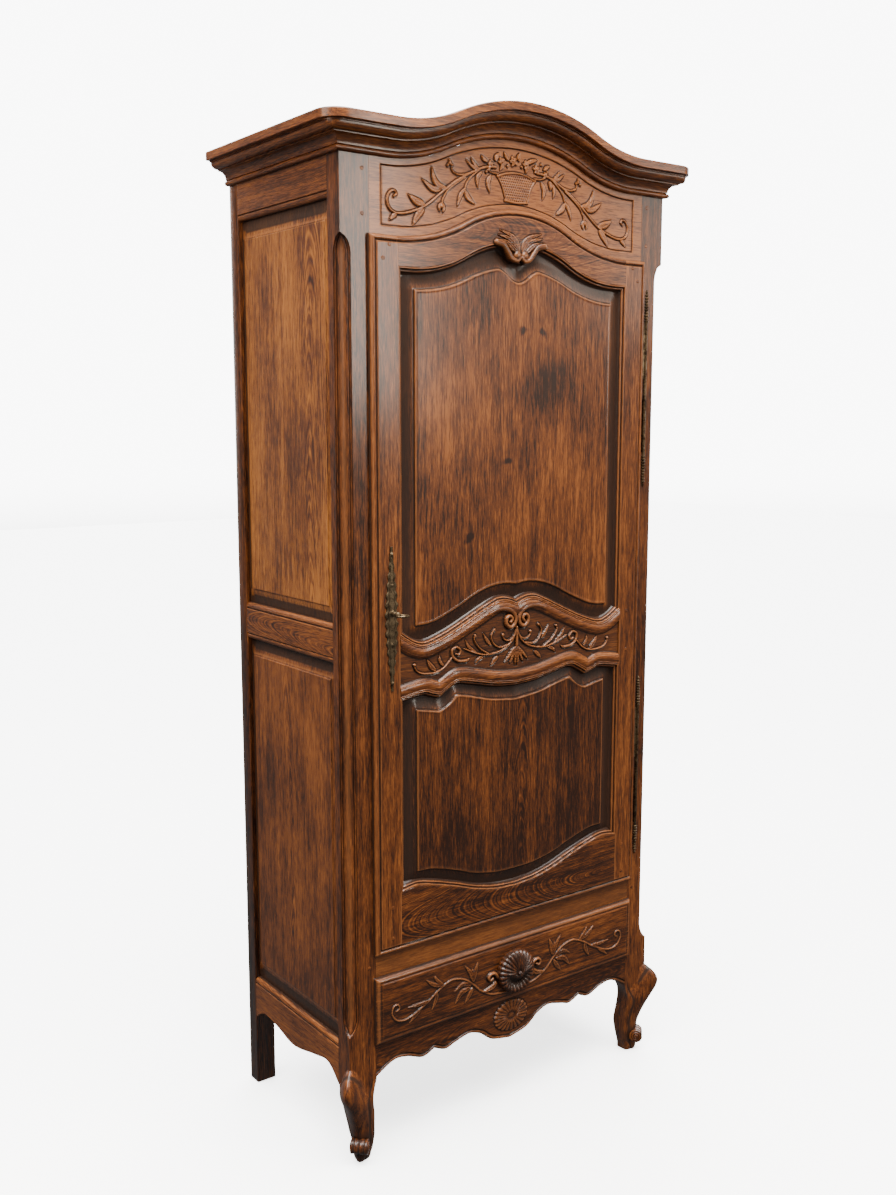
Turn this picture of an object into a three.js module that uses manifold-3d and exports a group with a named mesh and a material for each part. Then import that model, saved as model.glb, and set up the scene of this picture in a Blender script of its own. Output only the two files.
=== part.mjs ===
// A French provincial bonnetiere: a tall, narrow oak armoire with one carved door hung on
// its right side, a drawer below it, an arched cornice and cabriole front legs.
// Millimetres. X runs to the right, Y to the back, Z up. The floor is z = 0.

import * as THREE from "three";
import { mergeVertices } from "three/addons/utils/BufferGeometryUtils.js";
import Module from "manifold-3d";

const wasm = await Module();
wasm.setup();

// ---------------------------------------------------------------- driving dimensions

const CASE_HALF_WIDTH = 390;
const CASE_DEPTH = 409;
const REAR = 235;
const FRONT = REAR - CASE_DEPTH;
const CASE_TOP = 1861;

const FIT_GAP = 0.3; // between pieces that butt against each other
const DOOR_GAP = 3; // around the door and the drawer in their openings
const LIP_OVERLAP = 5; // how far the rebated lip covers the frame
const LIP_STEP = LIP_OVERLAP + DOOR_GAP;

const POST_WIDTH = 60;
const POST_DEPTH = 40;
const REAR_POST_WIDTH = 43;
const REAR_POST_DEPTH = 33;
const OPENING_HALF = CASE_HALF_WIDTH - POST_WIDTH;

const CANT = 22; // canted and moulded front corner
const CANT_BOTTOM = 262;
const CANT_TOP = 1727;

const FRONT_RAIL = 30; // thickness of the rails between the front posts
const SIDE_RAIL = 24; // thickness of the rails between front and rear posts
const SIDE_RAIL_INNER = CASE_HALF_WIDTH - SIDE_RAIL;

const DRAWER_OPENING = [236, 361];
const DOOR_OPENING_BOTTOM = 415;

const DOOR_HALF = OPENING_HALF + LIP_OVERLAP;
const DOOR_BOTTOM = DOOR_OPENING_BOTTOM - LIP_OVERLAP;
const DOOR_FACE = FRONT - 12.5;
const DOOR_BACK = FRONT + 14;
const LIP_BACK = FRONT - 0.5;
const LIP_EDGE = FRONT - 5; // where the lip's moulded slope begins
const LIP_SLOPE = 12;
const DOOR_STILE_INNER = 278;

const PANEL_TONGUE = 8; // how deep a panel sits in its grooves
const GROOVE_SLACK = 0.4;

const DRAWER_FACE = FRONT - 10.5;

const FLOOR_TOP = 413;
const SHELF_TOPS = [835, 1300];
const BOARD = 18;

const HINGE_X = 342.5;
const HINGE_Y = FRONT - 7;
const HINGES = { lower: [467, 867], upper: [1270, 1675] };
const BARREL_RADIUS = 6;

const KEY_X = -297;
const KEY_Z = 1062;
const KEY_TIP = -REAR;
const BOLT_THROW = 14;

// ---------------------------------------------------------------- curves

// Height of a double curve: two tangent arcs that rise from 0 at halfWidth to rise at the
// centre. split is the share of the half width taken by the convex centre arc.
function ogee(x, rise, halfWidth, split) {
  const distance = Math.abs(x);
  if (distance >= halfWidth) {
    return 0;
  }
  const angle = 2 * Math.atan(rise / halfWidth);
  const radii = halfWidth / Math.sin(angle);
  const convex = split * radii;
  const concave = radii - convex;
  if (distance < convex * Math.sin(angle)) {
    return rise - convex + Math.sqrt(convex ** 2 - distance ** 2);
  }
  return concave - Math.sqrt(concave ** 2 - (halfWidth - distance) ** 2);
}

// A smooth run through a few points, as [x, z] pairs.
function smooth(points, steps = 12) {
  const curve = new THREE.SplineCurve(points.map(([x, z]) => new THREE.Vector2(x, z)));
  return curve.getPoints(steps).map((p) => [p.x, p.y]);
}

// The whole edge from its right half, which starts at the centre line.
function mirrored(half) {
  const left = half.slice(1).reverse().map(([x, z]) => [-x, z]);
  return [...left, ...half];
}

// Samples height(x) from -halfWidth to halfWidth.
function sampled(height, halfWidth, steps) {
  const points = [];
  for (let i = 0; i <= steps; i++) {
    const x = halfWidth * ((2 * i) / steps - 1);
    points.push([x, height(x)]);
  }
  return points;
}

const shifted = (points, dz) => points.map(([x, z]) => [x, z + dz]);
const outlineBetween = (bottom, top) => [...bottom, ...[...top].reverse()];

// An edge carried on sideways to x = halfWidth, at its own end heights.
function widened(points, halfWidth) {
  const first = points[0];
  const last = points[points.length - 1];
  return [[-halfWidth, first[1]], ...points, [halfWidth, last[1]]];
}

const corniceRise = (x) => ogee(x, 64, 296, 0.556);
const doorTopEdge = (x) => 1731 + ogee(x, 69, 280, 0.45);

// Lower edge of the door's top rail: a double curve with a carved pendant at its centre.
function topRailEdge(x) {
  const pendantHalf = 56;
  const curve = 1678 + ogee(x, 64, 250, 0.5);
  if (Math.abs(x) >= pendantHalf) {
    return curve;
  }
  return curve - 16 * (1 + Math.cos((Math.PI * x) / pendantHalf));
}

// Right halves of the door's carved edges, from the centre line outwards.
const MID_RAIL_TOP = smooth(
  [[0, 1052], [20, 1060], [41, 1062], [64, 1055], [140, 1020], [176, 1005], [217, 993],
    [245, 998], [DOOR_STILE_INNER - FIT_GAP, 1018]], 22);
const MID_RAIL_BOTTOM = [
  ...smooth([[0, 899], [50, 903], [100, 913], [143, 920], [172, 908], [187, 899]], 14),
  ...smooth([[187, 899], [205, 904], [225, 909], [DOOR_STILE_INNER - FIT_GAP, 901]], 8).slice(1),
];
const BOTTOM_RAIL_TOP = smooth(
  [[0, 475], [50, 479], [100, 490], [150, 507], [200, 522], [240, 531],
    [DOOR_STILE_INNER - FIT_GAP, 526]], 16);
const UPPER_FIELD_BOTTOM = smooth(
  [[0, 1093], [30, 1096], [64, 1092], [100, 1080], [150, 1056], [200, 1037], [240, 1033]], 14);
const LOWER_FIELD_TOP = [
  ...smooth([[0, 863], [60, 870], [105, 881], [145, 890]], 8),
  ...smooth([[145, 890], [165, 872], [185, 864], [205, 867], [238, 873]], 8).slice(1),
];
const LOWER_FIELD_BOTTOM = smooth(
  [[0, 512], [50, 514], [100, 524], [150, 541], [200, 555], [238, 558]], 12);
const APRON_EDGE = [
  ...smooth([[0, 141], [42, 150], [62, 162]], 6),
  ...smooth([[62, 162], [76, 173], [105, 182], [142, 174], [165, 168], [192, 179]], 12).slice(1),
  ...smooth([[192, 179], [220, 169], [257, 182], [290, 184], [OPENING_HALF - FIT_GAP, 163]], 12)
    .slice(1),
];
const SIDE_RAIL_EDGE = smooth(
  [[FRONT + POST_DEPTH + FIT_GAP, 152], [-95, 181], [-45, 174], [40, 156], [110, 168],
    [165, 173], [REAR - REAR_POST_DEPTH - FIT_GAP, 152]], 20);

// ---------------------------------------------------------------- solids

function solidFrom(geometry) {
  const bare = geometry.clone();
  bare.deleteAttribute("normal");
  bare.deleteAttribute("uv");
  const merged = mergeVertices(bare, 1e-5);
  return new wasm.Manifold(
    new wasm.Mesh({
      numProp: 3,
      vertProperties: new Float32Array(merged.attributes.position.array),
      triVerts: new Uint32Array(merged.index.array),
    }),
  );
}

function geometryFrom(solid) {
  const mesh = solid.getMesh();
  const geometry = new THREE.BufferGeometry();
  geometry.setAttribute("position", new THREE.BufferAttribute(mesh.vertProperties, 3));
  geometry.setIndex(new THREE.BufferAttribute(mesh.triVerts, 1));
  return geometry;
}

function extruded(points, depth) {
  const shape = new THREE.Shape(points.map(([a, b]) => new THREE.Vector2(a, b)));
  return new THREE.ExtrudeGeometry(shape, { depth, bevelEnabled: false });
}

// Outline in X and Z, from y0 back to y1.
function prismY(points, y0, y1) {
  const geometry = extruded(points, y1 - y0);
  geometry.rotateX(Math.PI / 2);
  geometry.translate(0, y1, 0);
  return solidFrom(geometry);
}

// Outline in X and Y, from z0 up to z1.
function prismZ(points, z0, z1) {
  return solidFrom(extruded(points, z1 - z0).translate(0, 0, z0));
}

// Outline in Y and Z, from x0 to x1.
function prismX(points, x0, x1) {
  const geometry = extruded(points, x1 - x0);
  const axes = new THREE.Matrix4().makeBasis(
    new THREE.Vector3(0, 1, 0),
    new THREE.Vector3(0, 0, 1),
    new THREE.Vector3(1, 0, 0),
  );
  geometry.applyMatrix4(axes);
  return solidFrom(geometry.translate(x0, 0, 0));
}

function box(x0, x1, y0, y1, z0, z1) {
  const geometry = new THREE.BoxGeometry(Math.abs(x1 - x0), y1 - y0, z1 - z0);
  geometry.translate((x0 + x1) / 2, (y0 + y1) / 2, (z0 + z1) / 2);
  return solidFrom(geometry);
}

// Joins rings of [x, y, z] points, all with the same count, and closes both ends.
// flat gives the two coordinates in which an end ring is triangulated.
function loft(rings, flat) {
  const count = rings[0].length;
  const triangles = [];
  for (let ring = 0; ring < rings.length - 1; ring++) {
    for (let i = 0; i < count; i++) {
      const a = ring * count + i;
      const b = ring * count + ((i + 1) % count);
      triangles.push([a, b, b + count], [a, b + count, a + count]);
    }
  }
  for (const [ring, side] of [[0, -1], [rings.length - 1, 1]]) {
    const outline = rings[ring].map((p) => new THREE.Vector2(...flat(p)));
    const winding = side * Math.sign(THREE.ShapeUtils.area(outline));
    for (const [a, b, c] of THREE.ShapeUtils.triangulateShape(outline, [])) {
      const turn = THREE.ShapeUtils.area([outline[a], outline[b], outline[c]]);
      const face = Math.sign(turn) === winding ? [a, b, c] : [a, c, b];
      triangles.push(face.map((corner) => ring * count + corner));
    }
  }
  const points = rings.flat();
  let volume = 0;
  for (const [a, b, c] of triangles) {
    const p = new THREE.Vector3(...points[a]);
    volume += p.dot(new THREE.Vector3(...points[b]).cross(new THREE.Vector3(...points[c])));
  }
  const facing = volume < 0 ? triangles.map(([a, b, c]) => [a, c, b]) : triangles;
  const geometry = new THREE.BufferGeometry();
  geometry.setAttribute("position", new THREE.Float32BufferAttribute(points.flat(), 3));
  geometry.setIndex(facing.flat());
  return solidFrom(geometry);
}

const inXZ = ([x, , z]) => [x, z];
const inXY = ([x, y]) => [x, y];
const inYZ = ([, y, z]) => [y, z];

function lathe(profile, x, y, z, segments = 16) {
  const geometry = new THREE.LatheGeometry(
    profile.map(([radius, height]) => new THREE.Vector2(radius, height)), segments);
  geometry.rotateX(Math.PI / 2);
  geometry.translate(x, y, z);
  return solidFrom(geometry);
}

function mirrorX(solid) {
  return solid.mirror([1, 0, 0]);
}

// ---------------------------------------------------------------- the group

const armoire = new THREE.Group();
armoire.name = "armoire";

function finish(colour, roughness, metalness = 0) {
  return () => new THREE.MeshStandardMaterial({ color: colour, roughness, metalness });
}

const waxedOak = finish(0x6d4023, 0.42);
const carvedOak = finish(0x5c3420, 0.48);
const panelOak = finish(0x704524, 0.4);
const plainOak = finish(0x8a6a45, 0.7);
const agedBrass = finish(0x85765a, 0.45, 0.9);
const darkIron = finish(0x4a443c, 0.55, 0.85);

function add(name, solid, material) {
  const mesh = new THREE.Mesh(geometryFrom(solid), material());
  mesh.name = name;
  armoire.add(mesh);
}

function addPair(name, rightSolid, material) {
  add(`${name}_right`, rightSolid, material);
  add(`${name}_left`, mirrorX(rightSolid), material);
}

// ---------------------------------------------------------------- posts and legs

// One level of a right-hand front post. The front outer corner is cut by cant, and the cut
// carries a bead between two hollows.
function postRing(z, inner, outer, front, back, cant) {
  return [
    [inner, front, z],
    [outer - cant, front, z],
    [outer - 0.72 * cant, front + 0.1 * cant, z],
    [outer - 0.4 * cant, front + 0.4 * cant, z],
    [outer - 0.1 * cant, front + 0.72 * cant, z],
    [outer, front + cant, z],
    [outer, back, z],
    [inner, back, z],
  ];
}

// Levels of the cabriole leg: height, inner X, how far the outer corner stands proud of the
// case, back Y behind the front plane, corner rounding.
const LEG_LEVELS = [
  [0, 341, -16, 42, 8],
  [14, 343, -8, 45, 9],
  [30, 345, -3, 46, 9],
  [46, 346, -6, 46, 7],
  [62, 345, -13.5, 46, 6],
  [80, 341, -11, 45, 7],
  [101, 336, -1, 43, 9],
  [124, 331, 11, 40, 11],
  [146, 330, 18, 40, 12],
  [165, 330, 16.5, 40, 10],
  [188, 330, 8, 40, 6],
  [205, 330, 0.5, 40, 2],
];

function frontPost() {
  const inner = OPENING_HALF;
  const back = FRONT + POST_DEPTH;
  const rings = LEG_LEVELS.map(([z, legInner, proud, depth, round]) =>
    postRing(z, legInner, CASE_HALF_WIDTH + proud, FRONT - proud, FRONT + depth, round));
  const point = 0.6; // the cant dies away to this at its pointed ends
  for (const [z, cant] of [
    [CANT_BOTTOM, point],
    [CANT_BOTTOM + 10, 0.55 * CANT],
    [CANT_BOTTOM + 28, CANT],
    [CANT_TOP - 32, CANT],
    [CANT_TOP - 12, 0.6 * CANT],
    [CANT_TOP, point],
    [CASE_TOP - FIT_GAP, point],
  ]) {
    rings.push(postRing(z, inner, CASE_HALF_WIDTH, FRONT, back, cant));
  }
  return loft(rings, inXY);
}

function hingeMortises() {
  let cut = null;
  for (const [bottom, top] of Object.values(HINGES)) {
    const middle = (bottom + top) / 2;
    const slot = box(HINGE_X - 1.6, HINGE_X + 1.6, FRONT - 1, FRONT + 28.5,
      middle - 130.5, middle - 19.5);
    cut = cut ? cut.add(slot) : slot;
  }
  return cut;
}

// A panel's groove runs round the inside of its frame.
function sidePanelSlab(bottom, top, reach, slack) {
  return box(
    CASE_HALF_WIDTH - 16 - slack, CASE_HALF_WIDTH - 10 + slack,
    FRONT + POST_DEPTH - reach, REAR - REAR_POST_DEPTH + reach, bottom - reach, top + reach);
}

function backPanelSlab(bottom, top, reach, slack) {
  const half = CASE_HALF_WIDTH - REAR_POST_WIDTH + reach;
  return box(-half, half, REAR - 14 - slack, REAR - 8 + slack, bottom - reach, top + reach);
}

const GROOVE = PANEL_TONGUE + GROOVE_SLACK;
const SIDE_OPENINGS = { lower: [240, 970], upper: [1045, 1790] };
const BACK_OPENINGS = { lower: [300, 960], upper: [1040, 1780] };

let sideGrooves = sidePanelSlab(...SIDE_OPENINGS.lower, GROOVE, GROOVE_SLACK);
sideGrooves = sideGrooves.add(sidePanelSlab(...SIDE_OPENINGS.upper, GROOVE, GROOVE_SLACK));
let backGrooves = backPanelSlab(...BACK_OPENINGS.lower, GROOVE, GROOVE_SLACK);
backGrooves = backGrooves.add(backPanelSlab(...BACK_OPENINGS.upper, GROOVE, GROOVE_SLACK));

const post = frontPost().subtract(sideGrooves);
const boltMortise = box(-OPENING_HALF - BOLT_THROW, -OPENING_HALF + 1, FRONT + 15, FRONT + 31,
  KEY_Z + 12, KEY_Z + 34);
add("post_front_right", post.subtract(hingeMortises()), waxedOak);
add("post_front_left", mirrorX(post).subtract(boltMortise), waxedOak);

const rearPost = box(CASE_HALF_WIDTH - REAR_POST_WIDTH, CASE_HALF_WIDTH, REAR - REAR_POST_DEPTH,
  REAR, 0, CASE_TOP - FIT_GAP);
addPair("post_rear", rearPost.subtract(sideGrooves).subtract(backGrooves), waxedOak);

// ---------------------------------------------------------------- front rails

const RAIL_HALF = OPENING_HALF - FIT_GAP;
const RAIL_BACK = FRONT + FRONT_RAIL;

function friezeRail() {
  const bottom = sampled((x) => doorTopEdge(x) - LIP_OVERLAP, RAIL_HALF, 32);
  const top = sampled((x) => CASE_TOP - FIT_GAP + corniceRise(x), RAIL_HALF, 32);
  const rail = prismY(outlineBetween(bottom, top), FRONT, RAIL_BACK);
  const fieldHalf = 305;
  const fieldBottom = sampled((x) => 1747 + ogee(x, 62, 275, 0.48), fieldHalf, 24);
  const fieldTop = sampled((x) => CASE_TOP - 12 + corniceRise(x) * 0.97, fieldHalf, 24);
  const sunkField = prismY(outlineBetween(fieldBottom, fieldTop), FRONT - 1, FRONT + 2.5);
  return rail.subtract(sunkField);
}

add("frieze_rail", friezeRail(), carvedOak);
add("rail_above_drawer", box(-RAIL_HALF, RAIL_HALF, FRONT, RAIL_BACK, DRAWER_OPENING[1],
  DOOR_OPENING_BOTTOM), waxedOak);

const apronTop = [[-RAIL_HALF, DRAWER_OPENING[0]], [RAIL_HALF, DRAWER_OPENING[0]]];
add("apron", prismY(outlineBetween(mirrored(APRON_EDGE), apronTop), FRONT, FRONT + 24), carvedOak);

// ---------------------------------------------------------------- sides

const SIDE_FRONT = FRONT + POST_DEPTH + FIT_GAP;
const SIDE_BACK = REAR - REAR_POST_DEPTH - FIT_GAP;

function sideRail(bottom, top) {
  return box(SIDE_RAIL_INNER, CASE_HALF_WIDTH, SIDE_FRONT, SIDE_BACK, bottom, top)
    .subtract(sideGrooves);
}

function scallopedSideRail() {
  const top = SIDE_OPENINGS.lower[0];
  const outline = [...SIDE_RAIL_EDGE, [SIDE_BACK, top], [SIDE_FRONT, top]];
  return prismX(outline, SIDE_RAIL_INNER, CASE_HALF_WIDTH).subtract(sideGrooves);
}

// A raised panel: a thin slab held in grooves, with a field that slopes up from its edges.
function sidePanel([bottom, top]) {
  const slab = sidePanelSlab(bottom, top, PANEL_TONGUE - 1, 0);
  const margin = 25;
  const front = FRONT + POST_DEPTH;
  const back = REAR - REAR_POST_DEPTH;
  const ring = (x, inset) => [
    [x, front + inset, bottom + inset],
    [x, back - inset, bottom + inset],
    [x, back - inset, top - inset],
    [x, front + inset, top - inset],
  ];
  const level = CASE_HALF_WIDTH - 10;
  return slab.add(loft([ring(level - 1, 1), ring(level, 1), ring(level + 6, margin)], inYZ));
}

addPair("side_rail_top", sideRail(SIDE_OPENINGS.upper[1], CASE_TOP - FIT_GAP), waxedOak);
addPair("side_rail_middle", sideRail(SIDE_OPENINGS.lower[1], SIDE_OPENINGS.upper[0]), waxedOak);
addPair("side_rail_bottom", scallopedSideRail(), waxedOak);
addPair("side_panel_upper", sidePanel(SIDE_OPENINGS.upper), panelOak);
addPair("side_panel_lower", sidePanel(SIDE_OPENINGS.lower), panelOak);

// ---------------------------------------------------------------- back, floor, roof, shelves

const BACK_HALF = CASE_HALF_WIDTH - REAR_POST_WIDTH - FIT_GAP;
const BACK_RAIL_FRONT = REAR - 22;

function backRail(bottom, top) {
  return box(-BACK_HALF, BACK_HALF, BACK_RAIL_FRONT, REAR - 1, bottom, top).subtract(backGrooves);
}

add("back_rail_top", backRail(BACK_OPENINGS.upper[1], CASE_TOP - FIT_GAP), plainOak);
add("back_rail_middle", backRail(BACK_OPENINGS.lower[1], BACK_OPENINGS.upper[0]), plainOak);
add("back_rail_bottom", backRail(225, BACK_OPENINGS.lower[0]), plainOak);
add("back_panel_upper", backPanelSlab(...BACK_OPENINGS.upper, PANEL_TONGUE - 1, 0), plainOak);
add("back_panel_lower", backPanelSlab(...BACK_OPENINGS.lower, PANEL_TONGUE - 1, 0), plainOak);

// A board that fills the inside of the case and is notched round the four posts.
function deck(front, top) {
  const wide = SIDE_RAIL_INNER - FIT_GAP;
  const right = [
    [RAIL_HALF, front],
    [RAIL_HALF, SIDE_FRONT],
    [wide, SIDE_FRONT],
    [wide, SIDE_BACK],
    [BACK_HALF, SIDE_BACK],
    [BACK_HALF, BACK_RAIL_FRONT - FIT_GAP],
  ];
  const left = [...right].reverse().map(([x, y]) => [-x, y]);
  return prismZ([...right, ...left], top - BOARD, top);
}

add("wardrobe_floor", deck(RAIL_BACK + FIT_GAP, FLOOR_TOP), plainOak);
add("roof_board", box(-369.7, 369.7, RAIL_BACK + FIT_GAP, REAR - 1, CASE_TOP, CASE_TOP + 12),
  plainOak);

function cleat(boardTop, height) {
  const top = boardTop - BOARD - FIT_GAP;
  return box(SIDE_RAIL_INNER - 20, SIDE_RAIL_INNER - FIT_GAP, SIDE_FRONT, SIDE_BACK,
    top - height, top);
}

addPair("floor_bearer", cleat(FLOOR_TOP, 28), plainOak);
["lower", "upper"].forEach((name, i) => {
  add(`shelf_${name}`, deck(SIDE_FRONT, SHELF_TOPS[i]), plainOak);
  addPair(`shelf_cleat_${name}`, cleat(SHELF_TOPS[i], 24), plainOak);
});

const RUNNER_TOP = DRAWER_OPENING[0] + DOOR_GAP;
const DRAWER_BOX_HALF = 324;
const runnerSection = [
  [300, RUNNER_TOP - 20],
  [SIDE_RAIL_INNER - FIT_GAP, RUNNER_TOP - 20],
  [SIDE_RAIL_INNER - FIT_GAP, RUNNER_TOP + 40],
  [DRAWER_BOX_HALF + 3, RUNNER_TOP + 40],
  [DRAWER_BOX_HALF + 3, RUNNER_TOP],
  [300, RUNNER_TOP],
];
addPair("drawer_runner", prismY(runnerSection, SIDE_FRONT, SIDE_BACK), plainOak);

// ---------------------------------------------------------------- cornice

// Section of the cornice: overhang beyond the case and height above the case top.
const CORNICE_SECTION = [
  [-20, 0],
  [5, 0],
  [8.5, 3],
  [8.5, 7],
  [5, 9.5],
  [6.5, 16],
  [13, 25],
  [26, 30],
  [26, 33],
  [34, 35],
  [37, 39],
  [37, 41],
  [43, 43],
  [44.5, 46],
  [48, 46],
  [48, 57],
  [45, 60],
  [-20, 60],
];
const CORNICE_LENGTH = CASE_HALF_WIDTH + 48;

function corniceFront() {
  const rings = [];
  const steps = 40;
  for (let i = 0; i <= steps; i++) {
    const x = CORNICE_LENGTH * ((2 * i) / steps - 1);
    const lift = CASE_TOP + corniceRise(x);
    rings.push(CORNICE_SECTION.map(([out, up]) => [x, FRONT - out, lift + up]));
  }
  return loft(rings, inYZ);
}

// Wedges beyond the mitre planes, which start at the case corners.
function mitreWedge(gap) {
  const reach = 120;
  const corner = CASE_HALF_WIDTH + gap;
  return prismZ(
    [[corner - reach, FRONT + reach], [corner + reach, FRONT - reach],
      [corner + reach, FRONT + reach]], CASE_TOP - 10, CASE_TOP + 90);
}

function corniceSide() {
  const outline = CORNICE_SECTION.map(([out, up]) => [CASE_HALF_WIDTH + out, CASE_TOP + up]);
  const moulding = prismY(outline, FRONT - 60, REAR);
  return moulding.intersect(mitreWedge(2 * FIT_GAP).add(
    box(CASE_HALF_WIDTH - 60, CASE_HALF_WIDTH + 90, FRONT + 60, REAR + 1, CASE_TOP - 10,
      CASE_TOP + 90)));
}

const wedge = mitreWedge(0);
add("cornice_front", corniceFront().subtract(wedge).subtract(mirrorX(wedge)), waxedOak);
addPair("cornice_side", corniceSide(), waxedOak);

// ---------------------------------------------------------------- door

// A lip that covers the frame round an opening and slopes towards its face. outline(inset)
// gives the member with its outer edges moved in by inset.
function lippedMember(outline, face) {
  const ring = (y, inset) => outline(inset).map(([x, z]) => [x, y, z]);
  return loft([ring(face, LIP_SLOPE), ring(LIP_EDGE, 0), ring(LIP_BACK, 0)], inXZ);
}

// One member of the door: the lip, and behind it a body that fills the opening.
function doorMember(outline) {
  return lippedMember(outline, DOOR_FACE).add(prismY(outline(LIP_STEP), LIP_BACK, DOOR_BACK));
}

const DOOR_STILE_TOP = doorTopEdge(DOOR_HALF);

function doorStile(inset) {
  return [
    [DOOR_STILE_INNER, DOOR_BOTTOM + inset],
    [DOOR_HALF - inset, DOOR_BOTTOM + inset],
    [DOOR_HALF - inset, DOOR_STILE_TOP - inset],
    [DOOR_STILE_INNER, DOOR_STILE_TOP - inset],
  ];
}

const DOOR_RAIL_HALF = DOOR_STILE_INNER - FIT_GAP;

function doorTopRail(inset) {
  const bottom = sampled(topRailEdge, DOOR_RAIL_HALF, 40);
  const top = sampled((x) => doorTopEdge(x) - inset, DOOR_RAIL_HALF, 32);
  return outlineBetween(bottom, top);
}

function doorBottomRail(inset) {
  const level = DOOR_BOTTOM + inset;
  const bottom = [[-DOOR_RAIL_HALF, level], [DOOR_RAIL_HALF, level]];
  return outlineBetween(bottom, mirrored(BOTTOM_RAIL_TOP));
}

const PANEL_FRONT = FRONT - 2;
const PANEL_BACK = FRONT + 6;

// A slab that reaches into the grooves round an opening with curved top and bottom edges.
function doorPanelSlab(bottom, top, reach, slack) {
  const half = DOOR_STILE_INNER + reach;
  const outline = outlineBetween(
    widened(shifted(bottom, -reach), half), widened(shifted(top, reach), half));
  return prismY(outline, PANEL_FRONT - slack, PANEL_BACK + slack);
}

const UPPER_OPENING = [mirrored(MID_RAIL_TOP), sampled(topRailEdge, DOOR_RAIL_HALF, 40)];
const LOWER_OPENING = [mirrored(BOTTOM_RAIL_TOP), mirrored(MID_RAIL_BOTTOM)];

const doorGrooves = doorPanelSlab(...UPPER_OPENING, GROOVE, GROOVE_SLACK)
  .add(doorPanelSlab(...LOWER_OPENING, GROOVE, GROOVE_SLACK));

const FIELD_HALF = 240;

// The raised field of a door panel, sloping down to the slab by margin all round.
function doorField(bottom, top) {
  const margin = 18;
  const wider = 1 + margin / FIELD_HALF;
  const inner = outlineBetween(bottom, top);
  const outer = outlineBetween(shifted(bottom, -margin), shifted(top, margin))
    .map(([x, z]) => [x * wider, z]);
  const ring = (points, y) => points.map(([x, z]) => [x, y, z]);
  return loft([ring(inner, FRONT - 8), ring(outer, PANEL_FRONT), ring(outer, PANEL_FRONT + 1)],
    inXZ);
}

// Upper edge of the upper field: the rail's curve again, with a flat dip under the pendant.
function upperFieldTop(x) {
  const dipHalf = 54;
  const curve = 1640 + ogee(x, 54, FIELD_HALF, 0.5);
  if (Math.abs(x) >= dipHalf) {
    return curve;
  }
  return curve - 14 * (1 + Math.cos((Math.PI * x) / dipHalf));
}

const UPPER_FIELD = [mirrored(UPPER_FIELD_BOTTOM), sampled(upperFieldTop, FIELD_HALF, 28)];
const LOWER_FIELD = [mirrored(LOWER_FIELD_BOTTOM), mirrored(LOWER_FIELD_TOP)];

function keyBore() {
  const bore = new THREE.CylinderGeometry(4.5, 4.5, 80, 16);
  return solidFrom(bore.translate(KEY_X, FRONT, KEY_Z));
}

function leafMortises() {
  let cut = null;
  for (const [bottom, top] of Object.values(HINGES)) {
    const middle = (bottom + top) / 2;
    const slot = box(299.5, DOOR_HALF + 2, HINGE_Y - 1.6, HINGE_Y + 1.6,
      middle + 19.5, middle + 130.5);
    cut = cut ? cut.add(slot) : slot;
  }
  return cut;
}

const stile = doorMember(doorStile).subtract(doorGrooves);
add("door_stile_hinge", stile.subtract(leafMortises()), waxedOak);
add("door_stile_lock", mirrorX(stile).subtract(keyBore()), waxedOak);
add("door_rail_top", doorMember(doorTopRail).subtract(doorGrooves), carvedOak);
add("door_rail_bottom", doorMember(doorBottomRail).subtract(doorGrooves), waxedOak);

const midRailOutline = outlineBetween(mirrored(MID_RAIL_BOTTOM), mirrored(MID_RAIL_TOP));
add("door_rail_middle", prismY(midRailOutline, DOOR_FACE, DOOR_BACK).subtract(doorGrooves),
  carvedOak);

const panelReach = PANEL_TONGUE - 1;
add("door_panel_upper",
  doorPanelSlab(...UPPER_OPENING, panelReach, 0).add(doorField(...UPPER_FIELD)), panelOak);
add("door_panel_lower",
  doorPanelSlab(...LOWER_OPENING, panelReach, 0).add(doorField(...LOWER_FIELD)), panelOak);

// ---------------------------------------------------------------- hinges

// A long turned finial that ends a hinge barrel, from radius BARREL_RADIUS to a point.
const FINIAL = [
  [BARREL_RADIUS, 0], [7, 2], [7, 5], [4.6, 8], [6.4, 14], [6.6, 24], [5.2, 40], [3.4, 52],
  [5, 57], [3.2, 62], [0, 68],
];

// The post's half of a hinge: the lower barrel with its pin, and the leaf let into the post.
function postHalf(bottom, middle) {
  const height = middle - bottom;
  const profile = [...FINIAL].reverse().map(([radius, up]) => [radius, FINIAL[10][1] - up]);
  profile.push([BARREL_RADIUS, height], [3, height], [3, height + 60], [0, height + 60]);
  const leaf = box(HINGE_X - 1.2, HINGE_X + 1.2, HINGE_Y, FRONT + 28, middle - 130, middle - 20);
  return lathe(profile, HINGE_X, HINGE_Y, bottom).add(leaf);
}

// The door's half: the upper barrel, bored for the pin, and the leaf let into the door.
function doorHalf(middle, top) {
  const height = top - middle - 0.5;
  const tip = FINIAL[10][1];
  const profile = [[0, 62], [3.4, 62], [3.4, 0], [BARREL_RADIUS, 0]];
  profile.push(...FINIAL.map(([radius, up]) => [radius, height - tip + up]));
  const leaf = box(300, HINGE_X - 3.8, HINGE_Y - 1.2, HINGE_Y + 1.2, middle + 20, middle + 130);
  return lathe(profile, HINGE_X, HINGE_Y, middle + 0.5).add(leaf);
}

for (const [name, [bottom, top]] of Object.entries(HINGES)) {
  const middle = (bottom + top) / 2;
  add(`hinge_${name}_post_leaf`, postHalf(bottom, middle), agedBrass);
  add(`hinge_${name}_door_leaf`, doorHalf(middle, top), agedBrass);
}

// ---------------------------------------------------------------- lock

const PLATE_THICKNESS = 2;
const PLATE_Z = [918, 1184];

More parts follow.
